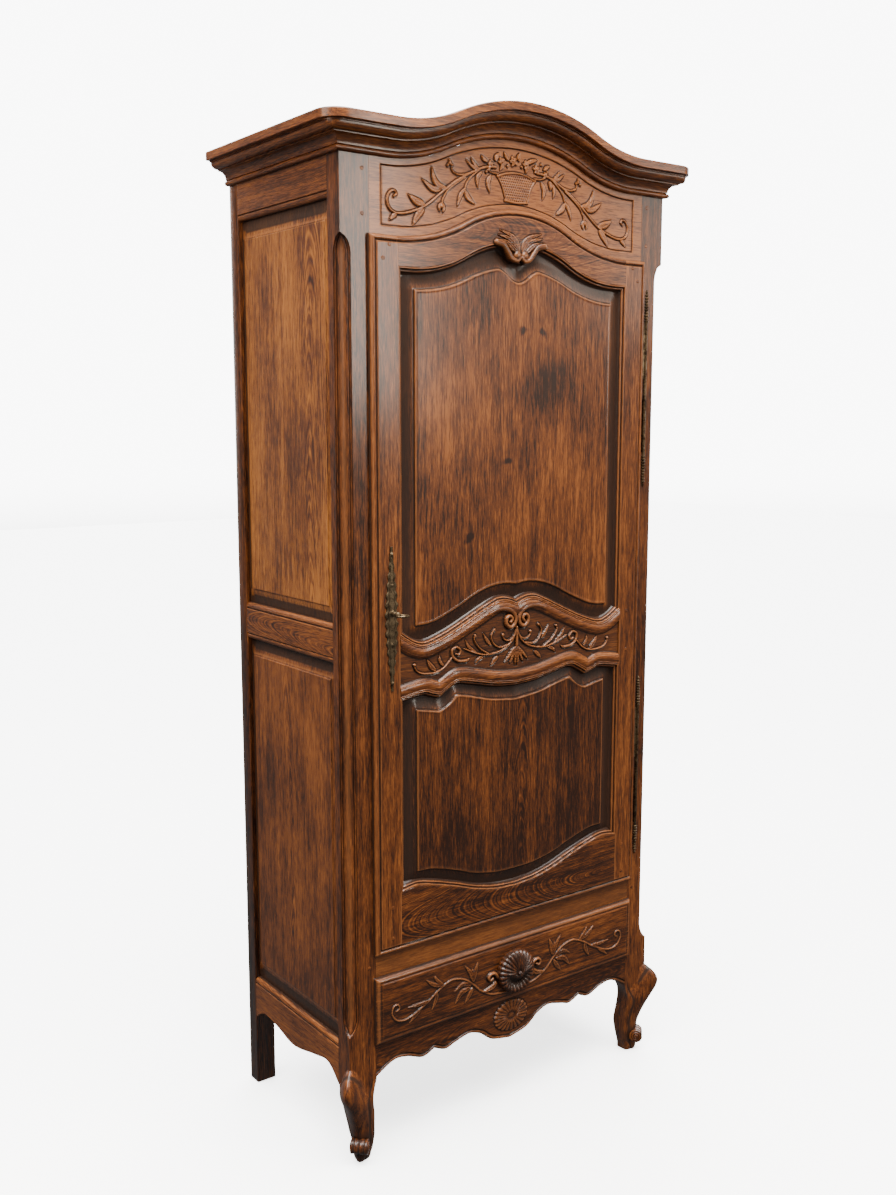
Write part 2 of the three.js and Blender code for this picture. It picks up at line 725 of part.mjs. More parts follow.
// Half width of the escutcheon: a long leaf shape with a wavy edge.
function plateHalfWidth(t) {
  const body = 3 + 10 * Math.sin(Math.PI * t) ** 1.5;
  return body + 1.2 * Math.sin(Math.PI * t) * Math.cos(14 * Math.PI * t);
}

function escutcheon() {
  const steps = 42;
  const right = [];
  for (let i = 0; i <= steps; i++) {
    const t = i / steps;
    const z = PLATE_Z[0] + (PLATE_Z[1] - PLATE_Z[0]) * t;
    right.push([plateHalfWidth(t), z]);
  }
  const left = [...right].reverse().map(([half, z]) => [KEY_X - half, z]);
  const outline = [...right.map(([half, z]) => [KEY_X + half, z]), ...left];
  const back = DOOR_FACE - 0.1;
  return prismY(outline, back - PLATE_THICKNESS, back).subtract(keyBore());
}

const LOCK_BOX = [-325.5, -262, DOOR_BACK + FIT_GAP, DOOR_BACK + 17, KEY_Z - 30, KEY_Z + 40];

// A shallow iron box with a slot in its edge for the bolt and a hole for the key.
function lockCase() {
  const [x0, x1, y0, y1, z0, z1] = LOCK_BOX;
  const wall = 1.6;
  const cavity = box(x0 + wall, x1 - wall, y0 + wall, y1 - wall, z0 + wall, z1 - wall);
  const slot = box(x0 - 1, x0 + 3, y0 + wall, y1 - wall, KEY_Z + 13, KEY_Z + 33);
  return box(x0, x1, y0, y1, z0, z1).subtract(cavity).subtract(slot).subtract(keyBore());
}

function lockBolt() {
  const [x0, , y0, y1] = LOCK_BOX;
  return box(x0 + 0.5, x0 + 44, y0 + 2.5, y1 - 2.5, KEY_Z + 14, KEY_Z + 32);
}

// A key with a turned stem, a flat bit inside the lock and an open oval bow.
function lockKey() {
  const bowRadius = [13, 12];
  const bowY = KEY_TIP + bowRadius[1];
  const ring = new THREE.Shape();
  ring.absellipse(KEY_X, bowY, ...bowRadius, 0, 2 * Math.PI, false, 0);
  const eye = new THREE.Path();
  eye.absellipse(KEY_X, bowY, bowRadius[0] - 4, bowRadius[1] - 4, 0, 2 * Math.PI, true, 0);
  ring.holes.push(eye);
  const bow = new THREE.ExtrudeGeometry(ring, { depth: 4, bevelEnabled: false, curveSegments: 14 });
  bow.translate(0, 0, KEY_Z - 2);
  const stemStart = bowY + bowRadius[1] - 2;
  const stemEnd = DOOR_BACK + 14;
  const stem = new THREE.CylinderGeometry(3, 3, stemEnd - stemStart, 16);
  stem.translate(KEY_X, (stemStart + stemEnd) / 2, KEY_Z);
  const collar = new THREE.CylinderGeometry(5.5, 5.5, 4, 16);
  collar.translate(KEY_X, stemStart + 3, KEY_Z);
  const bit = box(KEY_X - 1.4, KEY_X + 1.4, DOOR_BACK + 4, stemEnd - 1, KEY_Z - 12, KEY_Z);
  return solidFrom(bow).add(solidFrom(stem)).add(solidFrom(collar)).add(bit);
}

add("escutcheon", escutcheon(), agedBrass);
add("lock_case", lockCase(), darkIron);
add("lock_bolt", lockBolt(), darkIron);
add("key", lockKey(), agedBrass);

// ---------------------------------------------------------------- drawer

function drawerFrontOutline(inset) {
  const bottom = DRAWER_OPENING[0] - LIP_OVERLAP + inset;
  const top = DRAWER_OPENING[1] + LIP_OVERLAP - inset;
  const half = DOOR_HALF - inset;
  return [[-half, bottom], [half, bottom], [half, top], [-half, top]];
}

const DRAWER_WALL = 12;
const DRAWER_FRONT_BACK = FRONT + 12;
const DRAWER_END = FRONT + 362;
const DRAWER_LOW = RUNNER_TOP + 0.4;
const DRAWER_HIGH = 346;

function drawerSide() {
  return box(DRAWER_BOX_HALF - DRAWER_WALL, DRAWER_BOX_HALF, DRAWER_FRONT_BACK + FIT_GAP,
    DRAWER_END, DRAWER_LOW, DRAWER_HIGH);
}

const DRAWER_INNER = DRAWER_BOX_HALF - DRAWER_WALL - FIT_GAP;
const drawerBody = prismY(drawerFrontOutline(LIP_STEP), LIP_BACK, DRAWER_FRONT_BACK);
add("drawer_front", lippedMember(drawerFrontOutline, DRAWER_FACE).add(drawerBody), carvedOak);
addPair("drawer_side", drawerSide(), plainOak);
add("drawer_back", box(-DRAWER_INNER, DRAWER_INNER, DRAWER_END - DRAWER_WALL, DRAWER_END,
  DRAWER_LOW, DRAWER_HIGH - 10), plainOak);
add("drawer_bottom", box(-DRAWER_INNER, DRAWER_INNER, DRAWER_FRONT_BACK + FIT_GAP,
  DRAWER_END - DRAWER_WALL - FIT_GAP, DRAWER_LOW + 6, DRAWER_LOW + 14), plainOak);

// The shell that serves as the drawer's pull: a ribbed dome on the drawer front.
function shellPull() {
  const radius = 44;
  const height = 26;
  const ribs = 14;
  const back = DRAWER_FACE - FIT_GAP;
  const rings = [];
  for (const tilt of [0, 0.3, 0.6, 0.9, 1.2, 1.42]) {
    const ring = [];
    for (let i = 0; i < 4 * ribs; i++) {
      const turn = (2 * Math.PI * i) / (4 * ribs);
      const r = radius * Math.cos(tilt) * (1 + 0.05 * Math.cos(ribs * turn));
      ring.push([r * Math.cos(turn), back - height * Math.sin(tilt), 294 + r * Math.sin(turn)]);
    }
    rings.push(ring);
  }
  return loft(rings, inXZ);
}

add("shell_pull", shellPull(), carvedOak);

export default armoire;
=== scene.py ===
import math

import bpy
import numpy as np
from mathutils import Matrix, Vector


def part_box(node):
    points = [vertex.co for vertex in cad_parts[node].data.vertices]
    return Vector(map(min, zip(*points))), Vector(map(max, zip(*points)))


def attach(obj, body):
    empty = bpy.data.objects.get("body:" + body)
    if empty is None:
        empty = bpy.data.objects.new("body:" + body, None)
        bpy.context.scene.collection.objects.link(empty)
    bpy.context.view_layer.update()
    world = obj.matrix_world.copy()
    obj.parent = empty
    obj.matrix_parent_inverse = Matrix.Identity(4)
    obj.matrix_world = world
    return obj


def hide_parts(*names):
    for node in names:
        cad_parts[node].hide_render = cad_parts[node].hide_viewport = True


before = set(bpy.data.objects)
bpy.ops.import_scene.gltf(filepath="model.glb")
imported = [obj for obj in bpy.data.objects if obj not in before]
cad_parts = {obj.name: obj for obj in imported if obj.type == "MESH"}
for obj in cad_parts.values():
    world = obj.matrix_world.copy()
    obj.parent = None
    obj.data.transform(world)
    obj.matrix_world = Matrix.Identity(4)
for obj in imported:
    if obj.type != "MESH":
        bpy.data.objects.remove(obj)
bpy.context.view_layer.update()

# ------------------------------------------------------------------ places, in millimetres

MM = 0.001


def node_box(node):
    """Lowest and highest corner of a CAD node, in millimetres."""
    low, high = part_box(node)
    return [v / MM for v in low], [v / MM for v in high]


RAIL = node_box("rail_above_drawer")
STILE = node_box("door_stile_hinge")
POST = node_box("post_rear_right")
SIDE = node_box("side_rail_middle_right")
TOP_RAIL = node_box("side_rail_top_right")
LOW_RAIL = node_box("side_rail_bottom_right")
DRAWER = node_box("drawer_front")

FRONT = RAIL[0][1]
REAR = POST[1][1]
CASE_HALF = POST[1][0]
OPENING_HALF = round(RAIL[1][0])
FRONT_POST_DEPTH = 40
CASE_TOP = POST[1][2] + 0.3
DOOR_HALF = STILE[1][0]
DOOR_LOW, DOOR_HIGH = STILE[0][2], STILE[1][2]
DOOR_PROUD = FRONT - STILE[0][1]
STILE_INNER = STILE[0][0]
DRAWER_LOW, DRAWER_HIGH = DRAWER[0][2], DRAWER[1][2]
DRAWER_PROUD = FRONT - DRAWER[0][1]
SIDE_FRONT, SIDE_BACK = SIDE[0][1], SIDE[1][1]
SEAM = 0.3


# ------------------------------------------------------------------ curves

def spline(points, steps=12):
    """A Catmull-Rom curve through the points, sampled steps times between each two."""
    points = np.array(points, float)
    last = len(points) - 1
    out = []
    for i in range(last):
        before, a, b, after = (points[min(max(j, 0), last)] for j in range(i - 1, i + 3))
        for t in np.arange(steps) / steps:
            v0, v1 = (b - before) / 2, (after - a) / 2
            out.append((2 * a - 2 * b + v0 + v1) * t ** 3
                       + (3 * b - 3 * a - 2 * v0 - v1) * t ** 2 + v0 * t + a)
    return np.array(out + [points[-1]])


def ogee(x, rise, half_width, split):
    """Two tangent arcs that rise from 0 at half_width to rise at the centre."""
    x = np.minimum(np.abs(x), half_width)
    angle = 2 * math.atan(rise / half_width)
    radii = half_width / math.sin(angle)
    convex = split * radii
    concave = radii - convex
    dome = rise - convex + np.sqrt(np.maximum(convex ** 2 - x ** 2, 0))
    foot = concave - np.sqrt(np.maximum(concave ** 2 - (half_width - x) ** 2, 0))
    return np.where(x < convex * math.sin(angle), dome, foot)


def edge(*runs, steps=10):
    """Height as a function of |x| along smooth runs of [x, z] points that meet at cusps."""
    path = np.vstack([spline(run, steps) for run in runs])
    return lambda x: np.interp(np.abs(x), path[:, 0], path[:, 1])


def level(z):
    return lambda x: np.full(np.shape(x), float(z))


def raised(curve, dz):
    return lambda x: curve(x) + dz


def cornice_rise(x):
    return ogee(x, 64, 296, 0.556)


def door_top(x):
    return DOOR_HIGH + ogee(x, 69, 280, 0.45)


def dipped(curve, half, depth):
    """A curve with a rounded dip at its centre."""
    def dip(x):
        near = np.minimum(np.abs(x), half)
        return curve(x) - depth / 2 * (1 + np.cos(np.pi * near / half))
    return dip


rail_top_edge = dipped(lambda x: 1678 + ogee(x, 64, 250, 0.5), 56, 32)
mid_rail_high = edge([(0, 1052), (20, 1060), (41, 1062), (64, 1055), (140, 1020), (176, 1005),
                      (217, 993), (245, 998), (278, 1018)])
mid_rail_low = edge([(0, 899), (50, 903), (100, 913), (143, 920), (172, 908), (187, 899)],
                    [(187, 899), (205, 904), (225, 909), (278, 901)])
bottom_rail_high = edge([(0, 475), (50, 479), (100, 490), (150, 507), (200, 522), (240, 531),
                         (278, 526)])
upper_field_low = edge([(0, 1093), (30, 1096), (64, 1092), (100, 1080), (150, 1056),
                        (200, 1037), (240, 1033)])
upper_field_high = dipped(lambda x: 1640 + ogee(x, 54, 240, 0.5), 54, 28)
lower_field_low = edge([(0, 512), (50, 514), (100, 524), (150, 541), (200, 555), (238, 558)])
lower_field_high = edge([(0, 863), (60, 870), (105, 881), (145, 890)],
                        [(145, 890), (165, 872), (185, 864), (205, 867), (238, 873)])
apron_low = edge([(0, 141), (42, 150), (62, 162)],
                 [(62, 162), (76, 173), (105, 182), (142, 174), (165, 168), (192, 179)],
                 [(192, 179), (220, 169), (257, 182), (290, 184), (330, 163)])


def frieze_low(x):
    return 1747 + ogee(x, 62, 275, 0.48)


def frieze_high(x):
    return CASE_TOP - 12 + 0.97 * cornice_rise(x)


def stops(start, end, zones=(), fine=1.2, coarse=12.0):
    """Places from start to end: fine steps inside the zones, coarse steps elsewhere."""
    at, out = start, [start]
    while at < end - 1e-6:
        inside = any(a <= at < b for a, b in zones)
        ahead = min([a for a, b in zones if a > at] + [end])
        at = min(at + (fine if inside else coarse), end, max(ahead, at + fine))
        out.append(at)
    return np.array(out)


# ------------------------------------------------------------------ distances and relief

def nearest(U, W, path):
    """For every point: its distance from a polyline, and how far along that place is (0 to 1)."""
    path = np.asarray(path, float)
    best, share = np.full(U.shape, 1e9), np.zeros(U.shape)
    count = len(path) - 1
    for i in range(count):
        (ax, az), (bx, bz) = path[i], path[i + 1]
        dx, dz = bx - ax, bz - az
        t = np.clip(((U - ax) * dx + (W - az) * dz) / max(dx * dx + dz * dz, 1e-9), 0, 1)
        d = np.hypot(U - ax - t * dx, W - az - t * dz)
        closer = d < best
        best = np.where(closer, d, best)
        share = np.where(closer, (i + t) / count, share)
    return best, share


def distance(U, W, path):
    return nearest(U, W, path)[0]


def edge_distance(U, W, curve, half, steps=140):
    """Distance of every point from the curve z = curve(x) between -half and half."""
    x = np.linspace(-half, half, steps)
    return distance(U, W, np.column_stack([x, curve(x)]))


def closed_outline(low, high, half, steps):
    """The closed polyline round the area between two curves, out to half on each side."""
    x = np.linspace(-half, half, steps)
    return np.vstack([np.column_stack([x, high(x)]),
                      np.column_stack([x[::-1], low(x[::-1])]),
                      [[-half, high(-half)]]])


def profile(d, points):
    """A moulding: height at distance d from its edge, through (distance, height) points."""
    at, height = np.array(points, float).T
    return np.interp(d, at, height)


def soften(H, passes=2):
    """Rounds a height map slightly, as hand work does."""
    for _ in range(passes):
        P = np.pad(H, 1, mode="edge")
        H = (4 * H + P[:-2, 1:-1] + P[2:, 1:-1] + P[1:-1, :-2] + P[1:-1, 2:]) / 8
    return H


# ------------------------------------------------------------------ carving

# A stroke is one carved stem, leaf or berry: its kind, path in (x, z), half width and height.

def stem(points, width=1.7, height=2.6):
    return "stem", points, width, height


def leaf(points, width=5.0, height=3.0):
    return "leaf", points, width, height


def berry(x, z, radius=3.0, height=3.4):
    return "berry", [(x, z), (x + 0.01, z)], radius, height


def carve(H, U, W, strokes, ground, sides=(1, -1)):
    """Raises strokes from a ground height, with a fine cut round each of them."""
    H = H.copy()
    cut = np.zeros(H.shape)
    for side in sides:
        for kind, points, width, height in strokes:
            path = spline(points, 7) if len(points) > 2 else np.array(points, float)
            path = path * (side, 1)
            reach = width + 4
            near = ((U > path[:, 0].min() - reach) & (U < path[:, 0].max() + reach)
                    & (W > path[:, 1].min() - reach) & (W < path[:, 1].max() + reach))
            if not near.any():
                continue
            best, share = nearest(U[near], W[near], path)
            if kind == "leaf":
                half = width * np.maximum(np.sin(np.pi * np.clip(share, 0, 1) ** 0.8), 0.12)
            elif kind == "stem":
                half = width * (1.1 - 0.35 * share)
            else:
                half = np.full(best.shape, width)
            inside = np.clip(1 - (best / half) ** 2, 0, 1)
            top = ground + height * (0.35 + 0.65 * np.sqrt(inside))
            if kind == "leaf":
                top = top - 0.30 * height * np.exp(-(best / 0.9) ** 2)
                top = top - 0.14 * height * (1 + np.cos(share * 44 - best * 1.4)) / 2
            top = np.where(best < half, top, -1e3)
            H[near] = np.maximum(H[near], top)
            edge_cut = np.exp(-((best - half - 0.6) / 1.1) ** 2)
            cut[near] = np.maximum(cut[near], edge_cut)
    return np.where(H <= ground + 0.05, H - 0.8 * cut, H)


def shell(U, W, centre, radii, ribs, height):
    """A fluted shell that fans out all round its centre, low at its scalloped rim."""
    x, z = (U - centre[0]) / radii[0], (W - centre[1]) / radii[1]
    turn = np.arctan2(x, z)
    flute = np.abs(np.cos(turn * ribs / 2))
    r = np.hypot(x, z) / (0.93 + 0.07 * flute)
    dome = np.sqrt(np.clip(1 - r ** 2, 0, 1))
    lift = height * (0.35 + 0.65 * dome) * (0.72 + 0.28 * flute * np.clip(r * 2.5, 0, 1))
    lift = lift - 0.35 * height * np.exp(-((r - 0.22) / 0.10) ** 2)
    return np.where(r < 1, lift, -1e3)


# The frieze, right half: a vine from the flowers to a curl in the corner.
FRIEZE_VINE = [
    stem([(50, 1873), (75, 1870), (113, 1854), (145, 1836), (174, 1815), (201, 1794), (225, 1781),
          (252, 1772), (271, 1770), (286, 1776), (292, 1791), (287, 1803), (278, 1808),
          (272, 1803), (277, 1798)], 2.0, 2.8),
    leaf([(272, 1769), (279, 1764), (286, 1757)], 4.0),
    leaf([(213, 1783), (226, 1770), (237, 1753)], 6.5),
    leaf([(211, 1790), (229, 1794), (246, 1804)], 7.0, 3.4),
    stem([(122, 1847), (157, 1823), (170, 1806), (173, 1796)], 1.6),
    leaf([(173, 1797), (169, 1789), (171, 1780)], 3.4),
    leaf([(173, 1797), (179, 1790), (178, 1781)], 3.4),
    berry(174, 1791, 3.4, 4.0),
    leaf([(163, 1824), (180, 1826), (191, 1838), (196, 1857)], 6.0, 3.6),
    leaf([(176, 1819), (195, 1820), (217, 1834)], 5.5),
    stem([(109, 1855), (133, 1850), (148, 1854), (152, 1861)], 1.6),
    berry(155, 1868), berry(160, 1864, 2.6), berry(150, 1865, 2.4), berry(156, 1873, 2.4),
    leaf([(86, 1866), (103, 1867), (119, 1879)], 3.6),
    leaf([(92, 1868), (101, 1874), (108, 1883)], 2.8),
    stem([(90, 1863), (112, 1845), (121, 1828), (119, 1820)], 1.6),
    leaf([(121, 1824), (114, 1812), (99, 1802)], 5.2),
    leaf([(121, 1828), (132, 1813), (138, 1795)], 3.8),
    leaf([(82, 1861), (93, 1849), (91, 1831)], 4.0),
    leaf([(60, 1858), (68, 1844), (64, 1825)], 4.6),
    stem([(44, 1862), (58, 1862), (70, 1866)], 1.5),
]
# Flowers above the basket: (x, z, petal length) of each, and the loose leaves between them.
FLOWERS = [(-36, 1884, 9), (-8, 1888, 10), (23, 1885, 9), (48, 1880, 9), (-62, 1876, 8),
           (70, 1872, 7)]
LOOSE_LEAVES = [
    leaf([(-52, 1884), (-48, 1892), (-43, 1899)], 4.5, 4.2),
    leaf([(22, 1887), (36, 1893), (50, 1897)], 4.2, 4.4),
    leaf([(-20, 1888), (-26, 1895), (-30, 1902)], 3.4, 4.0),
    leaf([(6, 1890), (4, 1897), (6, 1904)], 3.8, 4.4),
    leaf([(24, 1882), (24, 1876), (22, 1870)], 4.0, 4.2),
    leaf([(66, 1880), (74, 1886), (82, 1890)], 3.6, 4.0),
    leaf([(-70, 1880), (-78, 1884), (-84, 1890)], 3.6, 4.0),
    leaf([(80, 1862), (84, 1854), (84, 1844)], 3.8, 4.0),
    leaf([(-30, 1880), (-36, 1874), (-40, 1868)], 2.8, 3.4),
    berry(60, 1890, 2.6), berry(-66, 1868, 2.8), berry(-72, 1862, 2.6), berry(76, 1878, 2.8),
    berry(12, 1880, 2.4), berry(-22, 1878, 2.4),
]
# The middle rail of the door, right half: volutes, branches and a fan of leaves.
MID_CARVING = [
    stem([(70, 1040), (48, 1047), (26, 1046), (11, 1038), (4, 1025), (8, 1013), (18, 1009),
          (27, 1016), (27, 1027), (19, 1031), (13, 1025), (17, 1019)], 4.6, 7.0),
    stem([(2, 1001), (12, 981), (35, 966), (68, 960), (98, 965), (130, 978)], 2.0, 3.6),
    stem([(3, 994), (16, 983), (30, 985), (35, 992)], 1.9, 3.6),
    berry(35, 995, 3.4, 4.2),
    stem([(23, 974), (42, 971), (57, 979), (64, 994), (59, 1006)], 1.8, 3.4),
    berry(56, 1007, 3.0, 4.0),
    leaf([(64, 978), (74, 988), (84, 1004)], 3.6),
    stem([(70, 961), (90, 973), (103, 988), (106, 997)], 1.8, 3.4),
    berry(103, 1000, 3.0, 4.0),
    leaf([(98, 966), (118, 980), (126, 995)], 3.2),
    stem([(126, 954), (144, 956), (157, 966), (158, 979), (147, 983), (139, 976), (142, 968),
          (149, 970)], 2.6, 4.0),
    leaf([(132, 955), (124, 954), (116, 958)], 3.4),
    leaf([(82, 957), (92, 955), (102, 946)], 3.6), berry(97, 953, 2.6),
    leaf([(46, 954), (55, 947), (64, 938)], 4.4),
    leaf([(3, 968), (16, 954), (30, 940)], 3.4, 3.8),
    leaf([(2, 966), (10, 950), (17, 936)], 3.4, 3.8),
    leaf([(0, 972), (3, 950), (3, 931)], 3.2, 4.2),
    stem([(0, 1008), (1, 990), (1, 970)], 2.0, 4.4),
    stem([(160, 963), (176, 948), (197, 940), (225, 941), (240, 948), (245, 956)], 1.8, 3.4),
    berry(245, 960, 3.2, 4.0),
    leaf([(196, 943), (207, 953), (216, 967)], 5.0),
    leaf([(178, 950), (186, 960), (188, 972)], 3.2),
]
# The drawer, right half: a vine that starts under the shell.
DRAWER_VINE = [
    stem([(20, 253), (56, 258), (85, 273), (107, 294), (129, 310), (154, 317), (172, 314),
          (195, 303), (215, 290), (235, 280), (255, 271), (275, 268), (292, 274), (301, 289),
          (297, 302), (287, 303), (284, 295), (291, 291)], 2.1, 2.6),
    leaf([(105, 297), (112, 318), (126, 337)], 5.0),
    leaf([(104, 299), (100, 320), (94, 337)], 5.0),
    leaf([(104, 298), (106, 314), (109, 328)], 3.6),
    leaf([(110, 293), (132, 300), (153, 291)], 5.0),
    leaf([(112, 289), (136, 283), (151, 265)], 6.0),
    leaf([(107, 287), (116, 273), (127, 260)], 5.4),
    leaf([(180, 311), (203, 320), (220, 334)], 4.6),
    leaf([(178, 312), (196, 328), (200, 338)], 3.6),
    leaf([(196, 303), (198, 288), (208, 269)], 5.2),
    leaf([(214, 291), (236, 289), (264, 291)], 4.2),
    leaf([(232, 281), (247, 270), (262, 258)], 4.0),
    stem([(44, 292), (52, 301), (62, 303), (68, 297), (64, 290), (58, 293)], 3.4, 6.5),
    leaf([(48, 284), (58, 274), (82, 270)], 6.0, 5.0),
]
# The pendant under the top rail of the door, right half.
PENDANT = [
    leaf([(2, 1724), (10, 1741), (26, 1752), (50, 1759)], 5.0, 2.6),
    leaf([(2, 1718), (14, 1735), (32, 1746), (54, 1750)], 5.0, 3.6),
    leaf([(4, 1716), (20, 1728), (34, 1738), (52, 1742)], 5.0, 4.6),
    stem([(58, 1737), (42, 1733), (32, 1722), (22, 1710), (10, 1706), (3, 1712)], 5.2, 6.0),
    berry(9, 1716, 8.0, 7.0),
]


def flower(x, z, length):
    """Five petals round a button."""
    petals = []
    for k in range(5):
        a = 2 * math.pi * k / 5 + 0.4 * x
        tip = (x + length * math.cos(a), z + length * math.sin(a))
        middle = (x + 0.5 * length * math.cos(a + 0.25), z + 0.5 * length * math.sin(a + 0.25))
        petals.append(leaf([(x, z), middle, tip], 0.34 * length, 3.8))
    return petals + [berry(x, z, 0.24 * length, 4.8)]


def basket(H, U, W, ground):
    """A woven basket: a fan shape covered with punched dots, with a rim and a foot."""
    z0, z1, foot_half, rim_half = 1816, 1858, 25, 44
    share = np.clip((W - z0) / (z1 - z0), 0, 1.4)
    half = foot_half + (rim_half - foot_half) * share ** 1.5
    top = z1 + 9 * (1 - (U / rim_half) ** 2)
    inside = (np.abs(U) < half) & (W > z0) & (W < top)
    pitch = 4.8
    row = np.floor(W / pitch)
    u = (U + 0.5 * pitch * (row % 2)) / pitch
    dot = np.hypot(u - np.round(u), W / pitch - row - 0.5)
    weave = ground + 1.4 - 1.9 * np.exp(-(dot / 0.27) ** 2)
    H = np.where(inside, weave, H)
    rim = [(x, z1 + 9 * (1 - (x / rim_half) ** 2)) for x in (-46, -30, -15, 0, 15, 30, 46)]
    bands = [stem(rim, 2.0, 2.8), stem([(-27, z0), (0, z0 - 2), (27, z0)], 2.4, 2.8),
             stem([(-46, 1859), (-34, 1840), (-26, z0)], 1.4, 2.2),
             stem([(46, 1859), (34, 1840), (26, z0)], 1.4, 2.2)]
    return carve(H, U, W, bands, ground, sides=(1,))


# ------------------------------------------------------------------ meshes

def make_mesh(name, points, faces, material, body, nodes=(), relief=None, smooth=40):
    """A mesh object from points in millimetres, riding on a body and standing for CAD nodes."""
    mesh = bpy.data.meshes.new(name)
    mesh.from_pydata((np.asarray(points, float) * MM).tolist(), [], faces)
    mesh.materials.append(material)
    # The relief attribute tells the shaders where to paint shade into hollows and highlight onto proud
    # edges, together with patina and wear.
    if relief is not None:
        layer = mesh.attributes.new("relief", "FLOAT", "POINT")
        layer.data.foreach_set("value", np.asarray(relief, np.float32))
    mesh.polygons.foreach_set("use_smooth", [True] * len(mesh.polygons))
    mesh.set_sharp_from_angle(angle=math.radians(smooth))
    piece = bpy.data.objects.new(name, mesh)
    bpy.context.scene.collection.objects.link(piece)
    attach(piece, body)
    if nodes:
        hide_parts(*nodes)
    return piece


PLANES = {
    "front": lambda u, w, h: (u, FRONT - h, w),
    "right": lambda u, w, h: (CASE_HALF + h, u, w),
    "left": lambda u, w, h: (-CASE_HALF - h, u, w),
}


def cavity(H):
    """How far each point of a height map lies below (+) or above (-) its surroundings."""
    wide = soften(H, 14)
    return np.clip((wide - H) / 1.2, -1, 1)


def relief_board(name, nodes, body, material, us, vs, low, high, height, depth,
                 plane="front", smooth=40, steps=()):
    """A board whose outer face is a height map between two edge curves.

    depth is how far the back lies behind the plane: a number, or a function of place when
    the back is rebated, with the steps of the rebate as further level curves.
    """
    us, vs = np.asarray(us, float), np.asarray(vs, float)
    bottom, top = low(us), high(us)
    U = np.tile(us, (len(vs), 1))
    W = bottom + vs[:, None] * (top - bottom)
    H = height(U, W)
    to_xyz = PLANES[plane]
    front = np.stack(np.broadcast_arrays(*to_xyz(U, W, H)), -1).reshape(-1, 3)
    levels = np.array([curve(us) for curve in (low, *steps, high)])
    places = np.tile(us, (len(levels), 1))
    behind = depth(places, levels) if callable(depth) else np.full(levels.shape, float(depth))
    back = np.stack(np.broadcast_arrays(*to_xyz(places, levels, -behind)), -1).reshape(-1, 3)
    rows, cols = H.shape
    f = np.arange(rows * cols).reshape(rows, cols)
    b = rows * cols + np.arange(levels.size).reshape(levels.shape)
    quads = [np.stack([f[:-1, :-1], f[:-1, 1:], f[1:, 1:], f[1:, :-1]], -1),
             np.stack([b[:-1, :-1], b[1:, :-1], b[1:, 1:], b[:-1, 1:]], -1),
             np.stack([f[0, :-1], b[0, :-1], b[0, 1:], f[0, 1:]], -1),
             np.stack([f[-1, :-1], f[-1, 1:], b[-1, 1:], b[-1, :-1]], -1)]
    faces = np.concatenate([q.reshape(-1, 4) for q in quads]).tolist()
    faces.append([*f[:, 0].tolist(), *b[::-1, 0].tolist()])
    faces.append([*f[::-1, -1].tolist(), *b[:, -1].tolist()])
    if plane == "left":
        faces = [face[::-1] for face in faces]
    # Hollows, and everything lying lower than most of the face, are painted darker (painted shade
    # together with patina); proud places are painted lighter (painted highlight together with wear).
    grime_and_shade = 0.6 * np.clip((np.percentile(H, 70) - H - 1.2) / 6, 0, 1)
    dip = np.concatenate([(cavity(H) + grime_and_shade).ravel(), np.zeros(levels.size)])
    return make_mesh(name, np.concatenate([front, back]), faces, material, body, nodes, dip,
                     smooth)


def loft(name, nodes, body, material, rings, smooth=40, relief=None, mirror=False):
    """Joins closed rings of points and caps both ends."""
    rings = np.array(rings, float)
    if mirror:
        rings = rings * (-1, 1, 1)
    count, size, _ = rings.shape
    index = np.arange(count * size).reshape(count, size)
    ahead = np.roll(index, -1, axis=1)
    quads = np.stack([index[:-1], ahead[:-1], ahead[1:], index[1:]], -1).reshape(-1, 4)
    faces = quads.tolist() + [index[0, ::-1].tolist(), index[-1].tolist()]
    points = rings.reshape(-1, 3)
    a, b, c, d = (points[quads[:, i]] for i in range(4))
    volume = np.einsum("ij,ij->", a, np.cross(b, c)) + np.einsum("ij,ij->", a, np.cross(c, d))
    if volume < 0:
        faces = [f[::-1] for f in faces]
    flat = None if relief is None else np.asarray(relief, float).ravel()
    return make_mesh(name, points, faces, material, body, nodes, flat, smooth)


DRILL_START = -400.0  # well in front of the door; the drill ends at the middle of the case


def bore(piece, x, z, radius, count=32):
    """Cuts a round hole through a closed piece of the door, from front to back."""
    turn = np.linspace(0, 2 * np.pi, count, endpoint=False)
    ends = [np.stack([x + radius * np.cos(turn), 0 * turn + y, z + radius * np.sin(turn)], -1)
            for y in (DRILL_START, 0.0)]
    ahead = np.roll(np.arange(count), -1)
    sides = [(k + count, int(n) + count, int(n), k) for k, n in enumerate(ahead)]
    faces = [*sides, tuple(range(count)), tuple(range(count, 2 * count))[::-1]]
    drill = bpy.data.meshes.new("drill")
    drill.from_pydata((np.concatenate(ends) * MM).tolist(), [], faces)
    tool = bpy.data.objects.new("drill", drill)
    bpy.context.scene.collection.objects.link(tool)
    cut = piece.modifiers.new("bore", "BOOLEAN")
    cut.operation = "DIFFERENCE"
    cut.solver = "EXACT"
    cut.object = tool
    shape = bpy.data.meshes.new_from_object(
        piece.evaluated_get(bpy.context.evaluated_depsgraph_get()))
    piece.modifiers.clear()
    piece.data = shape
    bpy.data.objects.remove(tool)


def turned(name, nodes, body, material, centre, profile_points, axis="z", count=24, smooth=35):
    """A turned piece: rings of (radius, distance along the axis) round its centre."""
    angles = np.linspace(0, 2 * np.pi, count, endpoint=False)
    rings = []
    for radius, along in profile_points:
        radius = max(radius, 0.05)
        c, s = radius * np.cos(angles), radius * np.sin(angles)
        offset = {"z": (c, s, 0 * c + along), "y": (c, 0 * c + along, s)}[axis]
        rings.append(np.stack(offset, -1) + centre)
    return loft(name, nodes, body, material, rings, smooth)


